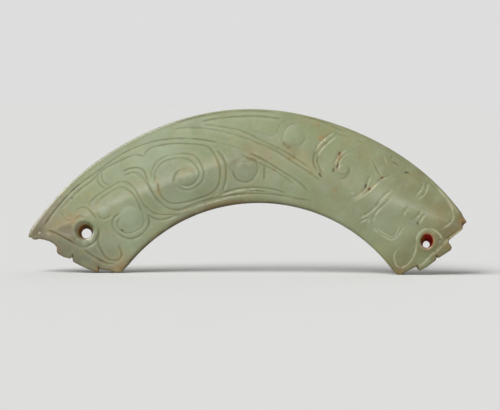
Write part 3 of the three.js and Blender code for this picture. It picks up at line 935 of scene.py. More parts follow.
def addFront():
    throats = [boreRing(bore["centre"], bore["throatRadius"], boreTurn, bore) for bore in bores.values()]
    flat, triangles = triangulate(frontPoints, [outline] + throats)
    distance, near = nearestOutline(flat)
    distance[:outlineSize] = 0
    depth, kept = carve(flat)
    front = np.stack([flat[:, 0], faceY(flat, distance, near, depth), flat[:, 1]], axis=1)
    uv = unwrap["margin"] + (flat - (outline[:, 0].min(), 0)) * unwrap["scale"]
    numbers = addPoints(front)
    addFaces(triangles, uv[triangles])
    return front, numbers, kept


def addBack(front):
    # on the same outline as the front, with its points in a plain grid
    field = fieldPoints(**spacing["back"])
    field = field[insideLoop(field, outline)]
    field = field[nearestOutline(field)[0] > plate["backRound"] * spacing["backClear"]]
    exits = []
    for number, bore in enumerate(bores.values()):
        depth = plate["backY"] - front[boreNumbers(number), 1].mean()
        bore["exitCentre"] = bore["centre"] - np.array([-bore["aside"] * depth, bore["drop"] * depth])
        exits.append(polar(bore["exitCentre"], bore["exitRadius"] + boreShape["exitGap"], boreTurn))
        field = field[distanceTo(field, bore["exitCentre"]) > bore["exitRadius"] + spacing["exitClear"]]
    rows = []
    for share in spacing["backRows"]:
        row = outline + outlineInward * plate["backRound"] * share
        row = row[insideLoop(row, outline)]
        rows.append(row[nearestOutline(row)[0] > plate["backRound"] * share * spacing["backRowClear"]])
    flat, triangles = triangulate(np.vstack(rows + [field]), [outline] + exits)
    distance = nearestOutline(flat)[0]
    distance[:outlineSize] = 0
    back = np.stack([flat[:, 0], backFaceY(flat, distance), flat[:, 1]], axis=1)
    u = 1 - unwrap["margin"] - (flat[:, 0] - outline[:, 0].min()) * unwrap["scale"]
    uv = np.stack([u, unwrap["backV"] + flat[:, 1] * unwrap["scale"]], axis=1)
    numbers = addPoints(back)
    triangles = triangles[:, ::-1]
    addFaces(numbers[triangles], uv[triangles])
    return back, numbers


def boreNumbers(number):
    # where a bore's ring stands among the points of either face: after the outline
    first = outlineSize + number * boreShape["facets"]
    return np.arange(first, first + boreShape["facets"])


def addEdge(front, back, frontNumbers, backNumbers):
    rings = [frontNumbers[:outlineSize]]
    for row in range(1, edge["rows"]):
        share = row / edge["rows"]
        ring = front[:outlineSize] * (1 - share) + back[:outlineSize] * share
        rough = np.array([sum(height * noise.noise((x * pace, z * pace, y * depthPace))
                              for height, pace, depthPace in edge["waves"]) for x, y, z in ring])
        inward = edge["hollow"] * math.sin(math.pi * share) * (edge["even"] + rough)
        ring[:, [0, 2]] += outlineInward * inward[:, None]
        ring[:, 2] = np.maximum(ring[:, 2], 0)
        rings.append(addPoints(ring))
    rings.append(backNumbers[:outlineSize])
    index = np.tile(np.arange(outlineSize), edge["rows"])
    row = np.repeat(np.arange(edge["rows"]), outlineSize)
    perStrip = -(-outlineSize // unwrap["edgeStrips"])
    strip = index // perStrip
    wide, tall = plate["outlineStep"] * unwrap["scale"], unwrap["edgeRow"] * unwrap["scale"]
    u = unwrap["margin"] + (index - strip * perStrip) * wide
    v = unwrap["edgeV"] + strip * unwrap["edgeRise"] + row * tall
    addRings(rings, u, v, wide, tall)


def addBore(number, bore, front, back, frontNumbers, backNumbers):
    ringCount, facets = boreShape["rings"], boreShape["facets"]
    chatter, chatterPace = boreShape["chatter"]
    rough, roundPace, alongPace = boreShape["wander"]
    apart = number * boreShape["wanderApart"]
    here = boreNumbers(number)
    rings = [frontNumbers[here]]
    for row in range(1, ringCount):
        share = row / ringCount
        ring = front[here] * (1 - share) + back[here] * share
        radius = bore["throatRadius"]
        radius += (bore["exitRadius"] - bore["throatRadius"]) * min(1, share * boreShape["taper"])
        radius = radius + (chatter * math.sin(row * chatterPace) + rough * np.array([
            noise.noise((math.cos(a) * roundPace, math.sin(a) * roundPace, row * alongPace + apart))
            for a in boreTurn]))
        middle = bore["centre"] * (1 - share) + bore["exitCentre"] * share
        ring[:, 0] = middle[0] + radius * (bore["narrow"] * (1 - share) + share) * np.cos(boreTurn)
        ring[:, 2] = middle[1] + radius * np.sin(boreTurn)
        rings.append(addPoints(ring))
    rings.append(backNumbers[here])
    index = np.tile(np.arange(facets), ringCount)
    row = np.repeat(np.arange(ringCount), facets)
    wide = 2 * np.pi * bore["throatRadius"] / facets * unwrap["scale"]
    tall = (plate["backY"] - plate["rimY"]) / ringCount * unwrap["scale"]
    u = unwrap["margin"] + number * unwrap["boreStep"] + index * wide
    addRings(rings, u, unwrap["boreV"] + row * tall, wide, tall, inward=True)


def buildPlate():
    front, frontNumbers, kept = addFront()
    back, backNumbers = addBack(front)
    sides = (front, back, frontNumbers, backNumbers)
    addEdge(*sides)
    firstFaces = []
    for number, bore in enumerate(bores.values()):
        firstFaces.append(len(faces))
        addBore(number, bore, *sides)
    mesh = bpy.data.meshes.new("carvedPlate")
    everywhere = np.vstack(places)
    mesh.from_pydata((everywhere * mm).tolist(), [], faces)
    layer = mesh.uv_layers.new(name="OFBake")
    layer.data.foreach_set("uv", np.vstack(uvs).astype(np.float32).ravel())
    mesh.shade_smooth()
    slots = np.zeros(len(faces), np.int32)
    for slot, firstFace in enumerate(firstFaces, 1):
        slots[firstFace:] = slot
    mesh.polygons.foreach_set("material_index", slots)
    mesh.update()
    return mesh, everywhere, kept


plateMesh, platePlaces, cutResidue = buildPlate()
print("plate mesh", len(plateMesh.vertices), "vertices,", len(plateMesh.polygons), "faces")


# what the shader needs to know at each point: what lies in and beside the cuts, the rim, the crest and the
# stains

# named places in the photograph, their reach in millimetres and how strong they are
stains = {
    "brown": [(122, 269, 2, 0.6), (112, 271, 1.4, 0.5), (98, 271, 0.9, 0.9), (400, 273, 1.6, 0.5),
        (463, 222, 0.9, 1), (459, 231, 1, 0.6), (454, 235, 0.9, 0.6), (450, 239, 0.9, 0.7),
        (57, 249, 0.8, 0.5), (158, 185.5, 0.45, 0.8), (159, 190, 0.5, 0.4), (72, 240, 0.8, 0.4),
        (450, 238.4, 0.3, 1), (452, 236.9, 0.3, 0.9), (454, 235.3, 0.3, 1), (456, 233.7, 0.3, 0.9),
        # painted shade: the brown spots at (98, 269), (449, 241.5), (437, 256.5) and (417.5, 267) darken
        # the notches
        (458.5, 231.7, 0.3, 0.8), (98, 269, 0.5, 1), (449, 241.5, 0.5, 0.8), (437, 256.5, 0.5, 0.7),
        (417.5, 267, 0.5, 0.6), (98.6, 270, 0.5, 1), (448.6, 236.9, 0.28, 1), (450.4, 235.8, 0.28, 1),
        (452.8, 233.8, 0.28, 1), (455, 231.9, 0.28, 1), (338.5, 158, 0.42, 1), (337.4, 162, 0.42, 1),
        (336.8, 166, 0.38, 0.9), (340, 154.5, 0.38, 0.8), (322.3, 138.2, 0.6, 1), (339.2, 156, 0.42, 1),
        (359.3, 152, 0.22, 0.8), (359.6, 157, 0.22, 0.7), (200, 210, 0.55, 0.6), (207, 207.6, 0.6, 0.7),
        (213, 205.8, 0.6, 0.8), (220, 204.3, 0.6, 0.8), (227, 203.2, 0.55, 0.8), (234, 202.4, 0.5, 0.7),
        (241, 201.8, 0.45, 0.6), (321, 146, 0.35, 0.6), (319, 150, 0.3, 0.6), (324, 142, 0.3, 0.5),
        (368.5, 188.5, 0.4, 0.9), (366, 186, 0.3, 0.8), (73, 219, 1.5, 0.3), (289, 158.8, 0.5, 0.7),
        (293.8, 156.3, 0.6, 0.7), (273.6, 169.7, 0.35, 0.9), (311, 172.8, 0.35, 0.6),
        (335.3, 189.7, 0.45, 0.6), (252, 159.8, 0.35, 0.5), (277.5, 148, 0.35, 0.5),
        (318.8, 125.5, 0.4, 0.5), (321.5, 146, 0.4, 0.8), (147, 206.8, 0.35, 0.5), (97, 271, 0.6, 1),
        (98.4, 270.6, 0.4, 1)],
    "umber": [(284.5, 143.6, 0.45, 0.6), (288.6, 147, 0.5, 0.5), (36, 234.5, 1.6, 0.6),
        (31, 236.4, 0.9, 0.7), (464.5, 223.6, 0.4, 1), (64, 247, 2, 0.15), (84, 259, 2.4, 0.06),
        (98, 266, 1.6, 0.22), (462, 219, 1.6, 0.4), (452, 231, 2, 0.35), (446, 246, 1.6, 0.3),
        (398, 268, 1.6, 0.35), (412, 264, 2, 0.2), (452, 210, 1.8, 0.2), (446, 234, 1.6, 0.5),
        (178, 213, 1.2, 0.3), (186, 212.5, 1, 0.3), (37, 230.5, 1.8, 0.7), (401, 269, 1.4, 0.5),
        (458, 225, 2, 0.4), (230, 195.4, 0.5, 0.5), (235, 194.7, 0.45, 0.4), (437, 212, 2.4, 0.2),
        (441, 249, 1.8, 0.3)],
    # painted light: pale spots on the left bore's lower lip, which faces down
    "chalkAndHighlight": [(84, 243.2, 0.8, 0.45), (90.5, 241, 0.8, 0.4), (78, 240.5, 0.6, 0.3)],
    "halo": [(462.8, 220.8, 0.7, 0.9), (461.4, 220.8, 0.5, 1), (322.3, 138, 0.45, 0.9),
        (338.4, 159, 0.3, 0.9), (339.4, 155.4, 0.3, 0.9), (97, 270.6, 0.5, 1), (98.2, 270.4, 0.35, 0.8)],
    # painted shade with patina on the left jaw and the eye's inner corner
    "leftShadeAndPatina": [(60, 240, 2.5, 0.4), (67, 230, 1.7, 0.5)],
    "tan": [(50, 229, 1.1, 0.6), (57, 226.5, 1.2, 0.5), (64, 222.5, 1.2, 0.6), (83, 252, 0.8, 0.3),
        (69, 220, 1.2, 0.8), (75, 218, 1, 0.8), (60, 222, 4, 0.25), (88, 200, 3, 0.2),
        (96, 259, 0.8, 0.5), (104, 262.5, 0.9, 0.6), (120.5, 251, 0.7, 0.5), (108, 232, 0.6, 0.3),
        (438, 216, 1.6, 0.3), (443, 219, 1.4, 0.3), (183, 173, 1.1, 0.6), (191, 170.5, 0.8, 0.5),
        (202, 165, 0.8, 0.4), (157, 181, 0.7, 0.5), (296, 162, 0.5, 0.6), (306, 165, 0.8, 0.5),
        (339, 158, 0.6, 0.9), (341.5, 154, 0.5, 0.8), (336, 168, 0.5, 0.6), (319.5, 148, 0.5, 0.7),
        (334, 190, 0.5, 0.6), (270, 157, 0.9, 0.5), (120, 266, 2.2, 0.7), (112, 262, 2, 0.25),
        (105, 259, 1.5, 0.3), (125, 258, 1.6, 0.4), (92, 205, 1.2, 0.3), (60, 224, 1.6, 0.5),
        (368, 188, 0.5, 0.6), (435, 233, 0.8, 0.4), (433.5, 240, 0.7, 0.6), (72, 219, 1.6, 1),
        (78, 216.5, 1.3, 0.8), (66, 220, 1.4, 0.6), (55, 231, 2.4, 0.4), (86, 211, 2, 0.3),
        (255, 151, 2.2, 0.5), (266, 157, 1.8, 0.5), (277, 164, 1.8, 0.3), (300, 158, 2.2, 0.35),
        (288, 151, 1.6, 0.5), (311, 168, 2, 0.35), (322, 138, 1.2, 0.8), (326, 133, 1, 0.5),
        (438, 212, 3, 0.2), (452, 205, 1.5, 0.3), (158, 192, 0.9, 0.7), (187, 209, 0.6, 0.5),
        (317, 125, 1, 0.6), (305, 119, 1.6, 0.3), (330, 128, 1.6, 0.3), (446, 245, 1.2, 0.5),
        (187, 173, 1, 0.4), (217, 163, 1.4, 0.35), (243, 194.2, 0.5, 0.8), (249, 193.5, 0.5, 0.6),
        (129, 193.5, 0.5, 0.6)],
    "olive": [(392, 165, 7, 0.45), (410, 180, 7, 0.55), (428, 195, 6, 0.55), (445, 205, 4, 0.6),
        (457, 225, 3, 1), (449, 231, 3, 0.9), (440, 206, 4, 0.4), (370, 150, 8, 0.3), (340, 190, 8, 0.3),
        (300, 203, 8, 0.15), (440, 249, 2.5, 0.6), (446, 247, 2.2, 0.85), (404, 267, 3, 0.8),
        (370, 152, 7, 0.3), (436, 252, 5, 0.45), (410, 260, 6, 0.35), (350, 215, 7, 0.3),
        (252, 200, 4, 0.3), (250, 156, 3.5, 0.55), (233, 160, 2.5, 0.5), (210, 201, 3, 0.5),
        (226, 198, 2.5, 0.5), (240, 198, 2.5, 0.4), (316, 156, 2.5, 0.4), (370, 181, 2.5, 0.4),
        (36, 234, 2.5, 0.5), (64, 250, 5, 0.3), (90, 262, 5, 0.3), (292, 148, 2, 0.5),
        (288, 145, 1.2, 0.6), (420, 172, 2, 0.6), (408, 163, 2, 0.3)],
    "rose": [(36, 228, 0.9, 0.6), (42, 221, 1.5, 0.9), (48, 214, 1.6, 0.9), (55, 206, 1.5, 0.8),
        (63, 197, 1.3, 0.6), (72, 188, 1.1, 0.4), (66, 230, 1.8, 0.8), (52, 233, 1.6, 0.5),
        (440, 242.5, 0.6, 0.9), (57.5, 250, 0.8, 0.9), (270, 150, 2, 0.3), (170, 187, 2.4, 0.3)],
    "frost": [(103, 210, 1.15, 1), (162, 143, 5, 0.9), (140, 158, 4.5, 0.7), (112, 174, 4, 0.5),
        (290, 188, 3.5, 0.8), (345, 216, 4.5, 0.7), (132, 232, 3.5, 0.7), (262, 118, 4, 0.6),
        (400, 240, 4, 0.6), (425, 262, 1.4, 0.6), (433, 256, 1.4, 0.6), (441, 250, 1.2, 0.5),
        (404, 268, 1, 0.5), (408, 250, 3, 0.6), (375, 228, 4, 0.4), (322, 186, 4, 0.4),
        (447, 199, 1.2, 0.5), (451, 206, 1.2, 0.6), (452.5, 214, 1.2, 0.6), (448, 223, 1.2, 0.5),
        (186, 126, 5, 0.7), (206, 122, 4, 0.6), (160, 134, 5, 0.4), (240, 121, 4.5, 0.45),
        (268, 121, 3.5, 0.4), (130, 218, 3.6, 0.7), (133, 241, 3.6, 0.7), (121, 206, 2, 0.3),
        (276, 180, 4.5, 0.6), (262, 177, 2.5, 0.3), (292, 137, 2.8, 0.4), (193, 172, 2.2, 0.5),
        (180, 196, 4, 0.4), (100, 247, 2.5, 0.3), (108, 266, 2, 0.6), (345, 209, 5, 0.25),
        (114, 266.5, 1.2, 0.6), (385, 199, 3, 0.5), (400, 203, 3, 0.5), (415, 207, 2.5, 0.4),
        # painted highlight: the frost spots from (84, 243) to (72.6, 234) pale the lip round the left bore
        (84, 243, 0.8, 0.9), (91, 240.8, 0.8, 0.8), (78, 240.5, 0.7, 0.6), (73, 229, 0.5, 0.6),
        (72.6, 234, 0.5, 0.6), (128, 244, 2, 0.6), (418, 232.5, 0.8, 0.5), (436.5, 243, 0.6, 0.7),
        (45, 237, 0.7, 0.6)],
    "ice": [(166, 172, 4.5, 0.7), (182, 196, 5, 0.6), (205, 180, 4, 0.6), (130, 216, 3.5, 0.6),
        (243, 172, 3.2, 0.7), (103, 210, 1.8, 0.8), (292, 137, 3, 0.4), (385, 214, 5, 0.7),
        (112, 158, 4, 0.4), (150, 140, 5, 0.3), (342, 178, 5, 0.3), (60, 242, 3, 0.2)],
    # painted glints: small near-white spots
    "chipGlint": [(39.6, 233, 0.17, 1), (325, 140, 0.25, 0.4), (352.5, 193.5, 0.2, 0.6)],
    # pale cream: chalk along the lower band's line, and a painted highlight along the right snout's edge
    "creamAndGlint": [(368.6, 191.6, 0.25, 0.7), (370.4, 190, 0.28, 0.9), (372.2, 188.3, 0.28, 0.9),
        (374, 186.5, 0.28, 0.9), (375.8, 184.8, 0.25, 0.6), (360, 194.8, 0.25, 0.5),
        (357.5, 197, 0.25, 0.5), (451, 237.5, 0.22, 0.8), (453, 236, 0.22, 0.8), (455, 234.4, 0.22, 0.9),
        (457, 232.8, 0.22, 0.9), (459, 231.2, 0.22, 0.9), (461, 229.7, 0.2, 0.8), (48.5, 234, 0.5, 0.3)],
}

# the same on the plain back, with places in millimetres as x and z
backStains = {
    "umber": [(-42, 14, 3, 0.5), (-36, 5, 3.5, 0.4), (46, 12, 3, 0.5), (40, 3.5, 2.5, 0.6),
        (-8, 18.5, 3, 0.3)],
    "tan": [(-30, 22, 4, 0.4), (-24, 26, 2.5, 0.3), (34, 24, 3, 0.4), (28, 28, 4, 0.3),
        (50, 15, 2.5, 0.6), (-50, 11, 2, 0.7), (12, 33, 5, 0.25), (-2, 37, 2, 0.3)],
    "frost": [(-14, 32, 6, 0.7), (18, 30, 5, 0.5), (40, 18, 3.5, 0.5), (-38, 18, 4, 0.4), (2, 28, 3, 0.5)],
    "ice": [(-22, 24, 5, 0.6), (30, 20, 5, 0.6), (6, 22, 4, 0.5), (-44, 8, 3, 0.4)],
    "olive": [(24, 34, 7, 0.5), (-32, 14, 6, 0.45), (44, 8, 5, 0.6), (-20, 36, 5, 0.35), (4, 34, 4, 0.3)],
    "rose": [(-6, 34, 3, 0.35), (36, 12, 2.5, 0.4)],
}

# where each side begins and is full, by y
sides = {"front": (0.8, -0.6), "back": (1.2, 2.6), "edges": (2.0, 0.5)}

# the brown line that runs along the lower edge of the face, in degrees on the inner rim. Its reaches are in
# millimetres, the second number where it is full
rimLine = {
    "from": (78, 100),
    "to": (152, 138),
    "fainter": (0.5, 112, 128),
    "reach": (1.9, 0.2),
    "orangeReach": (0.4, 0.1),
    "edgeReach": 0.6,
    "edgeFrom": (36, 90),
}

# the outer rim has painted shade on the right and over the crown, dulling the light its rounding catches,
# and a painted highlight along its edge near the left tip
rimPaintedShade = {
    "angles": (34, 44, 60, 76, 84, 92, 100, 106, 116, 132, 142),
    "amounts": (0.9, 0.5, 0.5, 0.45, 0.15, 0.15, 0.6, 0.8, 0.65, 0.45, 0.3),
    "at": 0.3,
    "half": 0.4,
    # where the painted highlight on the rim's edge begins and is full, and how far in it reaches
    "glintFrom": (126, 134),
    "glintReach": 0.24,
}

# how much of its polish the face has kept, and how matt dirt and the lower edge are
polish = {
    "angles": (34, 42, 50, 57, 63, 78, 88, 97, 104, 138, 146),
    "amounts": (0.4, 0.62, 0.78, 0.7, 0.3, 0.3, 0.5, 0.85, 1, 1, 0.5),
    "dirt": 0.9,
    "lowEdge": (0.8, 1.2, 0.3),
}

# the crest is painted pale, most of all on the left: a painted highlight for its sheen, together with
# rubbed wear
crestSheenAndWear = {
    "above": 1.2,
    "reach": 1.4,
    "angles": (34, 42, 50, 58, 78, 92, 104, 138, 146),
    "amounts": (0, 0.6, 0.7, 0.0, 0.0, 0.0, 0.75, 0.65, 0),
}

# painted shade with a darker patina on the lower slope and towards both ends: how strong, where it begins
# and where it is full
shadeAndPatina = {
    "inner": (0.08, 0.55, 0.0),
    "left": (0.85, 134, 149),
    "right": (0.26, 64, 42),
    "rightEnd": (0.9, 43, 35.5),
}

# the worn edge at both ends
endWear = {"reach": 0.4, "right": (0.45, 42, 39), "left": (1, 142, 145)}

# the marks round each bore
boreMarks = {
    "wallReach": 0.35,       # how far out of the throat the wall's earth fades
    "wallFrom": (0.2, 0.9),  # how far behind the crest it begins and is full
    "lean": 0.4,             # how much farther and stronger the stain lies on its own side
    "stainPower": 0.6,
    "exit": (0.8, 0.7),      # the stain round the far opening, how strong and how wide
    "glint": (0.12, 0.2),    # the lit edge, how far out of the throat and half its width
    "glintSide": (0.5, 0.95),
    "wallSide": (0.2, 0.9),
}


def ramp(setting, value):
    # an amount that sets in from one value to another
    amount, start, full = setting
    return amount * smoothstep(start, full, value)


def spotted(flat, spots, place):
    # the strongest of the round spots at each point
    amount = np.zeros(len(flat))
    for x, z, reach, strength in spots:
        amount = np.maximum(amount, strength * bell(distanceTo(flat, place((x, z))), reach))
    return amount


def boreMasks(name, bore, flat, frontSide, backSide):
    depth = platePlaces[:, 1] - plate["frontY"]
    axis = bore["centre"] + depth[:, None] * np.array([bore["aside"], -bore["drop"]])
    throat = bore["throatRadius"]
    wall = smoothstep(throat + boreMarks["wallReach"], throat, boreGap(flat, axis, bore))
    away = flat - bore["centre"]
    gap = boreGap(flat, bore["centre"], bore)
    reach, side = bore["stain"]
    lean = boreMarks["lean"]
    towards = away @ np.array(side) / np.maximum(gap, 1)
    ring = np.clip(1 - (gap - throat) / (reach * (1 + lean * towards)), 0, 1) ** boreMarks["stainPower"]
    strength, wide = boreMarks["exit"]
    exitRing = strength * bell(distanceTo(flat, bore["exitCentre"]) - bore["exitRadius"], wide) * backSide
    at, half = boreMarks["glint"]
    lit = smoothstep(*boreMarks["glintSide"], -towards) * frontSide
    return {
        name + "Bore": wall * smoothstep(*boreMarks["wallFrom"], depth),
        name + "Mouth": np.maximum(ring * frontSide * (1 - lean + lean * towards), exitRing),
        name + "Glint": bell(gap - throat - at, half) * lit,
        name + "Side": smoothstep(*boreMarks["wallSide"], -away[:, 0] / np.maximum(gap, 0.5)),
    }


def rimMasks(flat, spots, frontSide, edgeSide):
    # the brown line along the inner rim, and the painted shade and the painted highlight of the outer one
    turn = np.degrees(angleOf(flat, plate["innerCentre"]))
    fromInner = distanceTo(flat, plate["innerCentre"]) - plate["innerRadius"]
    line = smoothstep(*rimLine["from"], turn) * smoothstep(*rimLine["to"], turn)
    orange = line * smoothstep(*rimLine["orangeReach"], fromInner)
    line *= smoothstep(*rimLine["reach"], fromInner) * (1 - ramp(rimLine["fainter"], turn))
    innerEdge = bell(fromInner, rimLine["edgeReach"]) * smoothstep(*rimLine["edgeFrom"], turn)
    fromOuter = plate["outerRadius"] - distanceTo(flat, plate["outerCentre"])
    turn = np.degrees(angleOf(flat, plate["outerCentre"]))
    rimShadeAmount = np.interp(turn, rimPaintedShade["angles"], rimPaintedShade["amounts"])
    glint = bell(fromOuter, rimPaintedShade["glintReach"]) * smoothstep(*rimPaintedShade["glintFrom"], turn)
    return {
        "innerEdge": innerEdge * frontSide,
        # painted shade along the outer rim
        "rimPaintedShade": rimShadeAmount * bell(fromOuter - rimPaintedShade["at"], rimPaintedShade["half"]) * frontSide,
        # painted highlight along the outer rim's edge near the left tip
        "rimPaintedHighlight": glint * frontSide,
        "umber": np.maximum(spots["umber"], line * edgeSide),
        "brown": np.maximum(spots["brown"], orange * edgeSide),
    }


def wearShadeAndSheenMasks(flat, spots, dirt, frontSide):
    # what changes from one end of the plate to the other: wear and a painted highlight on the crest, patina
    # with painted shade, and polish
    turn = np.degrees(angleOf(flat, plate["outerCentre"]))
    share = bandShare(flat)
    bandWide = plate["outerRadius"] - plate["innerRadius"]
    fromCrest = (share - alongCrest(turn, crest["shares"])) * bandWide - crestSheenAndWear["above"]
    sheenAndWear = np.interp(turn, crestSheenAndWear["angles"], crestSheenAndWear["amounts"])
    # painted shade with patina on the lower slope and towards the right end
    unshaded = 1 - ramp(shadeAndPatina["inner"], share)
    for name in ("right", "rightEnd"):
        unshaded = unshaded * (1 - ramp(shadeAndPatina[name], turn))
    atEnds = np.maximum(ramp(endWear["right"], turn), ramp(endWear["left"], turn))
    fromInner = distanceTo(flat, plate["innerCentre"]) - plate["innerRadius"]
    matt = np.maximum(polish["dirt"] * dirt, ramp(polish["lowEdge"], fromInner))
    return {
        # painted highlight with wear along the crest
        "crest": sheenAndWear * bell(fromCrest, crestSheenAndWear["reach"]) * frontSide,
        # painted shade with patina towards the left end
        "leftShadeAndPatina": np.maximum(ramp(shadeAndPatina["left"], turn), spots["leftShadeAndPatina"]),
        "shadeAndPatina": 1 - unshaded,
        "endWear": bell(nearestOutline(flat)[0], endWear["reach"]) * atEnds,
        "polish": np.interp(turn, polish["angles"], polish["amounts"]) * (1 - matt),
    }


def makeMasks():
    flat = platePlaces[:, [0, 2]]
    frontSide, backSide, edgeSide = (smoothstep(*sides[name], platePlaces[:, 1])
                                     for name in ("front", "back", "edges"))
    inCuts = {}
    for name, amount in cutResidue.items():
        inCuts[name] = np.zeros(len(flat))
        inCuts[name][:len(amount)] = np.clip(amount, 0, 1)
    spots = {name: spotted(flat, places, spotOnFace) * frontSide for name, places in stains.items()}
    for name, places in backStains.items():
        spots[name] = np.maximum(spots[name], spotted(flat, places, np.array) * backSide)
    spots["olive"] = np.maximum(spots["olive"], np.clip(sawDepth(flat) / sawDirt, 0, 1) * backSide)
    dirt = np.max([inCuts[name] for name in ("olive", "brown", "rustAndNickShade", "chalkAndHighlight")], axis=0)
    masks = {
        # olive residue, with painted shade beside the chalked cuts
        "cutOliveAndShade": inCuts["olive"],
        "cutBrown": inCuts["brown"],
        "chalkAndHighlight": np.maximum(inCuts["chalkAndHighlight"], spots["chalkAndHighlight"]),
        "rustAndNickShade": inCuts["rustAndNickShade"],
        "halo": np.maximum(inCuts["halo"], spots["halo"]),
        "rubbedAndHighlight": inCuts["rubbedAndHighlight"],
    }
    masks.update(rimMasks(flat, spots, frontSide, edgeSide))
    masks.update({name: spots[name] for name in ("tan", "olive", "rose", "ice", "frost", "chipGlint", "creamAndGlint")})
    masks.update(wearShadeAndSheenMasks(flat, spots, dirt, frontSide))
    for name, bore in bores.items():
        masks.update(boreMasks(name, bore, flat, frontSide, backSide))
    for name, values in masks.items():
        layer = plateMesh.attributes.new(name, "FLOAT", "POINT")
        layer.data.foreach_set("value", values.astype(np.float32))


makeMasks()


# the jade

jade = {
    "pale": (0.275, 0.31, 0.168, 1),
    "deep": (0.215, 0.26, 0.125, 1),
    "honey": (0.31, 0.29, 0.13, 1),
    "ash": (0.29, 0.29, 0.21, 1),
    "milky": (0.38, 0.39, 0.255, 1),
    # olive residue in the cuts, and painted shade beside the chalked ones
    "cutOliveAndShade": (0.14, 0.14, 0.058, 1),
    "cutBrown": (0.1, 0.075, 0.028, 1),
    # chalky residue, and painted highlights on lit walls and edges
    "chalkAndHighlight": (0.6, 0.6, 0.42, 1),
    "brown": (0.23, 0.125, 0.028, 1),
    "tan": (0.36, 0.25, 0.09, 1),
    "olive": (0.17, 0.155, 0.062, 1),
    "rose": (0.215, 0.17, 0.12, 1),
    "ice": (0.265, 0.305, 0.2, 1),
    "frost": (0.34, 0.4, 0.26, 1),
    "umber": (0.12, 0.085, 0.028, 1),
    "endWear": (0.17, 0.115, 0.045, 1),
    # painted highlight with rubbed wear beside the cuts
    "rubbedAndHighlight": (0.4, 0.43, 0.29, 1),
    # painted glint
    "chipGlint": (0.85, 0.88, 0.75, 1),
    # chalk, and painted highlight on the right snout's edge
    "creamAndGlint": (0.7, 0.64, 0.4, 1),
    # dark grit, and painted shade in the notches
    "rustAndNickShade": (0.045, 0.024, 0.005, 1),
    "halo": (0.3, 0.17, 0.06, 1),
    # painted shade on the outer rim
    "rimPaintedShade": (0.17, 0.16, 0.08, 1),
    # painted highlight on the outer rim's edge
    "rimPaintedHighlight": (0.62, 0.6, 0.5, 1),
    "innerEdge": (0.055, 0.038, 0.012, 1),
    "leftGlint": (0.8, 0.82, 0.72, 1),
    "rightGlint": (0.5, 0.45, 0.35, 1),
    # painted shade, darker towards the left end
    "leftShadeAndPatina": (0.155, 0.15, 0.105, 1),
    "leftBore": (0.24, 0.12, 0.03, 1),
    "rightBore": (0.3, 0.03, 0.015, 1),
    "leftMouth": (0.2, 0.13, 0.05, 1),
    "rightMouth": (0.45, 0.2, 0.09, 1),
    # painted shade, darker on the lower slope and towards the right end
    "shadeAndPatina": (0.15, 0.15, 0.055, 1),
    "roughness": (0.35, 0.48),       # clouded between these, the clouds by size and detail
    "roughClouds": (3, 4),
    "roughSpan": (0.3, 0.7),
    "cutRoughness": 0.2,     # added in the cuts
    "specular": 0.28,
    "ior": 1.61,
    "coat": 0.55,
    "coatRoughness": 0.2,
    "coatIor": 1.6,
    "subsurface": 0.12,
    "subsurfaceRadius": (0.9, 1.1, 0.6),     # in millimetres
    "bump": 0.5,
    "bumpDepth": 0.04,
    "bumpClouds": (0.4, 5),
    "scratchDepth": 0.35,
}

# the clouding of the stone itself, from the bottom up: its colour, the clouds' size in millimetres, their
# detail and distortion, the noise where they begin and where they are full, and the most that they cover
clouding = (
    ("deep", 16, 3, 0.6, 0.42, 0.68, 1),
    ("milky", 6, 4, 0.4, 0.52, 0.75, 0.4),
    ("deep", 2.2, 5, 1.2, 0.5, 0.7, 0.4),
    ("milky", 0.7, 2, 0, 0.58, 0.7, 0.3),
    ("deep", 0.34, 3, 0, 0.5, 0.68, 0.5),
    ("honey", 4.2, 3, 0.5, 0.5, 0.66, 0.45),
    ("ash", 1.9, 4, 0.8, 0.52, 0.68, 0.5),
    ("honey", 0.9, 3, 0, 0.52, 0.68, 0.4),
)

# what lies over the stone, painted shade and highlights among it, from the bottom up: its mask and colour,
# the least and most that covers, and the size of the clouds that break it up
layers = (
    ("ice", 0.3, 0.8, 5), ("frost", 0.3, 0.9, 4), ("shadeAndPatina", 0.5, 1.0, 6), ("leftShadeAndPatina", 0.5, 1.0, 5),
    ("rimPaintedShade", 0.6, 1.0, 2), ("olive", 0.3, 1.0, 3), ("rose", 0.35, 0.95, 2.5), ("crest", 0.2, 0.5, 2.2),
    ("tan", 0.25, 0.9, 1.4), ("rubbedAndHighlight", 0.05, 0.26, 2.5), ("umber", 0.45, 1.0, 2.5),
    ("endWear", 0.2, 0.95, 1.1), ("cutOliveAndShade", 0.15, 0.5, 2.5), ("brown", 0.2, 0.9, 1.2),
    ("cutBrown", 0.05, 0.8, 1.3), ("chalkAndHighlight", 0.14, 0.6, 1.6), ("innerEdge", 0.5, 0.95, 2),
    ("creamAndGlint", 0.6, 0.95, 0.6), ("halo", 0.2, 0.75, 0.7), ("rustAndNickShade", 0.75, 1.0, 0.5), ("chipGlint", 0.4, 0.9, 0.6),
    ("rimPaintedHighlight", 0.2, 0.8, 1.5), ("leftMouth", 0.5, 0.9, 0.8), ("rightMouth", 0.2, 0.9, 0.8),
    ("leftGlint", 0.3, 0.8, 0.6), ("rightGlint", 0.1, 0.6, 0.6), ("leftBore", 0.4, 0.95, 1.5),
    ("rightBore", 0.4, 1.0, 1.5),
)
# where such a cloud begins in the noise, and where it is full
layerClouds = {"detail": 3, "span": (0.32, 0.58)}

# fine scratches from polishing: their turn in degrees, how wide and how long, in millimetres
scratches = ((35, 0.09, 7), (-48, 0.07, 5), (4, 0.08, 9))
scratchSpan = (0.64, 0.72)   # the noise where a scratch begins and where it is full


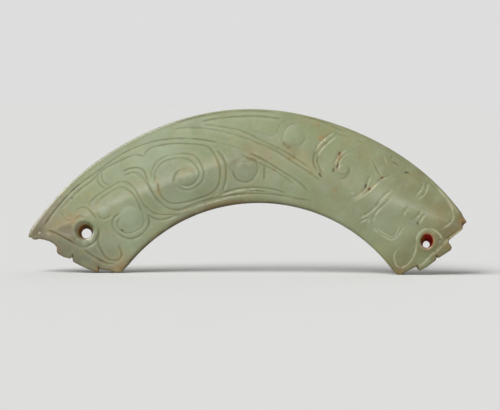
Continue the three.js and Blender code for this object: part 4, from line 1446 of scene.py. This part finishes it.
def setInputs(tree, node, values):
    # each value is a number, a colour or another node's socket
    for name, value in values.items():
        if isinstance(value, bpy.types.NodeSocket):
            tree.links.new(value, node.inputs[name])
        else:
            node.inputs[name].default_value = value


def addNode(tree, kind, values, **settings):
    made = tree.nodes.new("ShaderNode" + kind)
    for name, value in settings.items():
        setattr(made, name, value)
    setInputs(tree, made, values)
    return made


def newMaterial(name):
    material = bpy.data.materials.new(name)
    material.use_nodes = True
    return material, material.node_tree, material.node_tree.nodes["Principled BSDF"]


def ownPlace(tree):
    node = tree.nodes.get("Texture Coordinate") or addNode(tree, "TexCoord", {})
    return node.outputs["Object"]


def mask(tree, name):
    return addNode(tree, "Attribute", {}, attribute_name=name, attribute_type="GEOMETRY").outputs["Fac"]


def clouds(tree, size, detail, distortion=0.0):
    # noise whose features are about size millimetres across
    values = {"Scale": 1 / (size * mm), "Detail": detail, "Distortion": distortion}
    return addNode(tree, "TexNoise", {"Vector": ownPlace(tree), **values}).outputs["Fac"]


def remap(tree, value, low, high, bottom=0.0, top=1.0):
    values = {"Value": value, "From Min": low, "From Max": high, "To Min": bottom, "To Max": top}
    return addNode(tree, "MapRange", values, interpolation_type="SMOOTHSTEP").outputs["Result"]


def maths(tree, operation, first, second):
    clamped = operation != "SUBTRACT"
    return addNode(tree, "Math", {0: first, 1: second}, operation=operation, use_clamp=clamped).outputs[0]


def blend(tree, base, colour, amount):
    return addNode(tree, "Mix", {"Factor": amount, 6: base, 7: colour}, data_type="RGBA").outputs[2]


def scratched(tree, turn, across, along):
    # noise drawn out into streaks that lie at an angle on the face
    values = {
        "Vector": ownPlace(tree),
        "Rotation": (0, math.radians(turn), 0),
        "Scale": (along * mm, across * mm, across * mm),
    }
    drawn = addNode(tree, "Mapping", values, vector_type="TEXTURE").outputs["Vector"]
    grain = addNode(tree, "TexNoise", {"Vector": drawn, "Scale": 1, "Detail": 2}).outputs["Fac"]
    return remap(tree, grain, *scratchSpan)


def makeJade():
    material, tree, shader = newMaterial("celadonJade")
    colour = jade["pale"]
    for name, size, detail, distortion, low, high, most in clouding:
        amount = remap(tree, clouds(tree, size, detail, distortion), low, high, 0, most)
        colour = blend(tree, colour, jade[name], amount)
    for name, least, most, size in layers:
        broken = remap(tree, clouds(tree, size, layerClouds["detail"]), *layerClouds["span"], least, most)
        amount = maths(tree, "MULTIPLY", mask(tree, name), broken)
        # the crest's painted highlight and wear takes the milky colour
        colour = blend(tree, colour, jade["milky" if name == "crest" else name], amount)
    smooth = remap(tree, clouds(tree, *jade["roughClouds"]), *jade["roughSpan"], *jade["roughness"])
    inCuts = maths(tree, "MULTIPLY", mask(tree, "cutOliveAndShade"), jade["cutRoughness"])
    marks = scratched(tree, *scratches[0])
    for scratch in scratches[1:]:
        marks = maths(tree, "ADD", marks, scratched(tree, *scratch))
    marks = maths(tree, "MULTIPLY", marks, jade["scratchDepth"])
    bump = addNode(tree, "Bump", {
        "Strength": jade["bump"],
        "Distance": jade["bumpDepth"] * mm,
        "Height": maths(tree, "SUBTRACT", clouds(tree, *jade["bumpClouds"]), marks),
    })
    setInputs(tree, shader, {
        "Base Color": colour,
        "Roughness": maths(tree, "ADD", smooth, inCuts),
        "Coat Weight": maths(tree, "MULTIPLY", mask(tree, "polish"), jade["coat"]),
        "Coat Roughness": jade["coatRoughness"],
        "Coat IOR": jade["coatIor"],
        "Subsurface Weight": jade["subsurface"],
        "Subsurface Radius": jade["subsurfaceRadius"],
        "Subsurface Scale": mm,
        "IOR": jade["ior"],
        "Specular IOR Level": jade["specular"],
        "Normal": bump.outputs["Normal"],
    })
    return material


# earth stays in the left bore and cinnabar in the right one
boreEarth = {
    "left": {
        "light": (0.22, 0.12, 0.025, 1),
        "dark": (0.04, 0.024, 0.006, 1),
        "side": (0.27, 0.12, 0.03, 1),
    },
    "right": {
        "light": (0.5, 0.02, 0.012, 1),
        "dark": (0.1, 0.004, 0.003, 1),
        "side": (0.26, 0.1, 0.012, 1),
    },
    "roughness": 0.9,
    "specular": 0.15,
    "grain": (0.5, 4),       # its size in millimetres, and its detail
    "bumpDepth": 0.1,
}


def makeBoreEarth(name):
    material, tree, shader = newMaterial(name + "BoreEarth")
    colours = boreEarth[name]
    grains = clouds(tree, *boreEarth["grain"])
    colour = blend(tree, colours["dark"], colours["light"], grains)
    bump = addNode(tree, "Bump", {"Distance": boreEarth["bumpDepth"] * mm, "Height": grains})
    setInputs(tree, shader, {
        "Base Color": blend(tree, colour, colours["side"], mask(tree, name + "Side")),
        "Roughness": boreEarth["roughness"],
        "Specular IOR Level": boreEarth["specular"],
        "Normal": bump.outputs["Normal"],
    })
    return material


pendant = addObject("carved_jade_plate", plateMesh)
plateMesh.materials.append(makeJade())
for name in bores:
    plateMesh.materials.append(makeBoreEarth(name))
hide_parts("jade_plate")
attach(pendant, "root")
print("jade finished")


# the pale floor and the soft studio light

studio = {
    "floorColour": (0.7, 0.7, 0.69, 1),
    "floorReach": 30,
    "floorRoughness": 0.9,
    "worldColour": (1.0, 1.0, 1.0, 1),
    "worldStrength": 0.25,
    "backdrop": 0.725,       # how bright the world looks behind the floor and in reflections
    "aim": (0, 0, 0.02),     # where the lamps point, in metres
    "sun": {"from": (-0.45, -0.42, 0.79), "strength": 2.85, "angle": 40},
    "backSun": {"from": (0.5, 0.75, 0.5), "strength": 0.5, "angle": 80},
    "strip": {"place": (-0.1, -1.3, 0.066), "wide": 1.3, "high": 0.13, "power": 2.4},
}


def makeFloor():
    reach = studio["floorReach"]
    mesh = bpy.data.meshes.new("floor")
    corners = [(-reach, -reach, 0), (reach, -reach, 0), (reach, reach, 0), (-reach, reach, 0)]
    mesh.from_pydata(corners, [], [(0, 1, 2, 3)])
    floor = addObject("floor", mesh)
    material, tree, shader = newMaterial("paleFloor")
    setInputs(tree, shader, {
        "Base Color": studio["floorColour"],
        "Roughness": studio["floorRoughness"],
        "Specular IOR Level": 0.0,
    })
    mesh.materials.append(material)


def addLight(name, kind, place, **settings):
    data = bpy.data.lights.new(name, kind)
    for setting, value in settings.items():
        setattr(data, setting, value)
    light = addObject(name, data)
    light.location = place
    light.rotation_euler = (Vector(studio["aim"]) - Vector(place)).to_track_quat("-Z", "Y").to_euler()


def makeLights():
    for name in ("sun", "backSun"):
        sun = studio[name]
        addLight(name, "SUN", sun["from"], energy=sun["strength"], angle=math.radians(sun["angle"]))
    strip = studio["strip"]
    addLight("strip", "AREA", strip["place"], shape="RECTANGLE", size=strip["wide"], size_y=strip["high"],
             energy=strip["power"])


def makeWorld():
    # soft light all round, with a brighter backdrop for what the camera and reflections see
    world = bpy.data.worlds.new("studio")
    world.use_nodes = True
    tree = world.node_tree
    light = tree.nodes["Background"]
    setInputs(tree, light, {"Color": studio["worldColour"], "Strength": studio["worldStrength"]})
    seen = addNode(tree, "Background", {"Color": studio["worldColour"], "Strength": studio["backdrop"]})
    path = addNode(tree, "LightPath", {})
    straight = path.outputs["Is Camera Ray"]
    for name in ("Is Glossy Ray", "Is Transmission Ray"):
        straight = maths(tree, "MAXIMUM", straight, path.outputs[name])
    mix = addNode(tree, "MixShader", {"Fac": straight, 1: light.outputs[0], 2: seen.outputs[0]})
    setInputs(tree, tree.nodes["World Output"], {"Surface": mix.outputs[0]})
    bpy.context.scene.world = world


makeFloor()
makeLights()
makeWorld()
bpy.context.scene.view_settings.view_transform = "Standard"
print("studio finished")
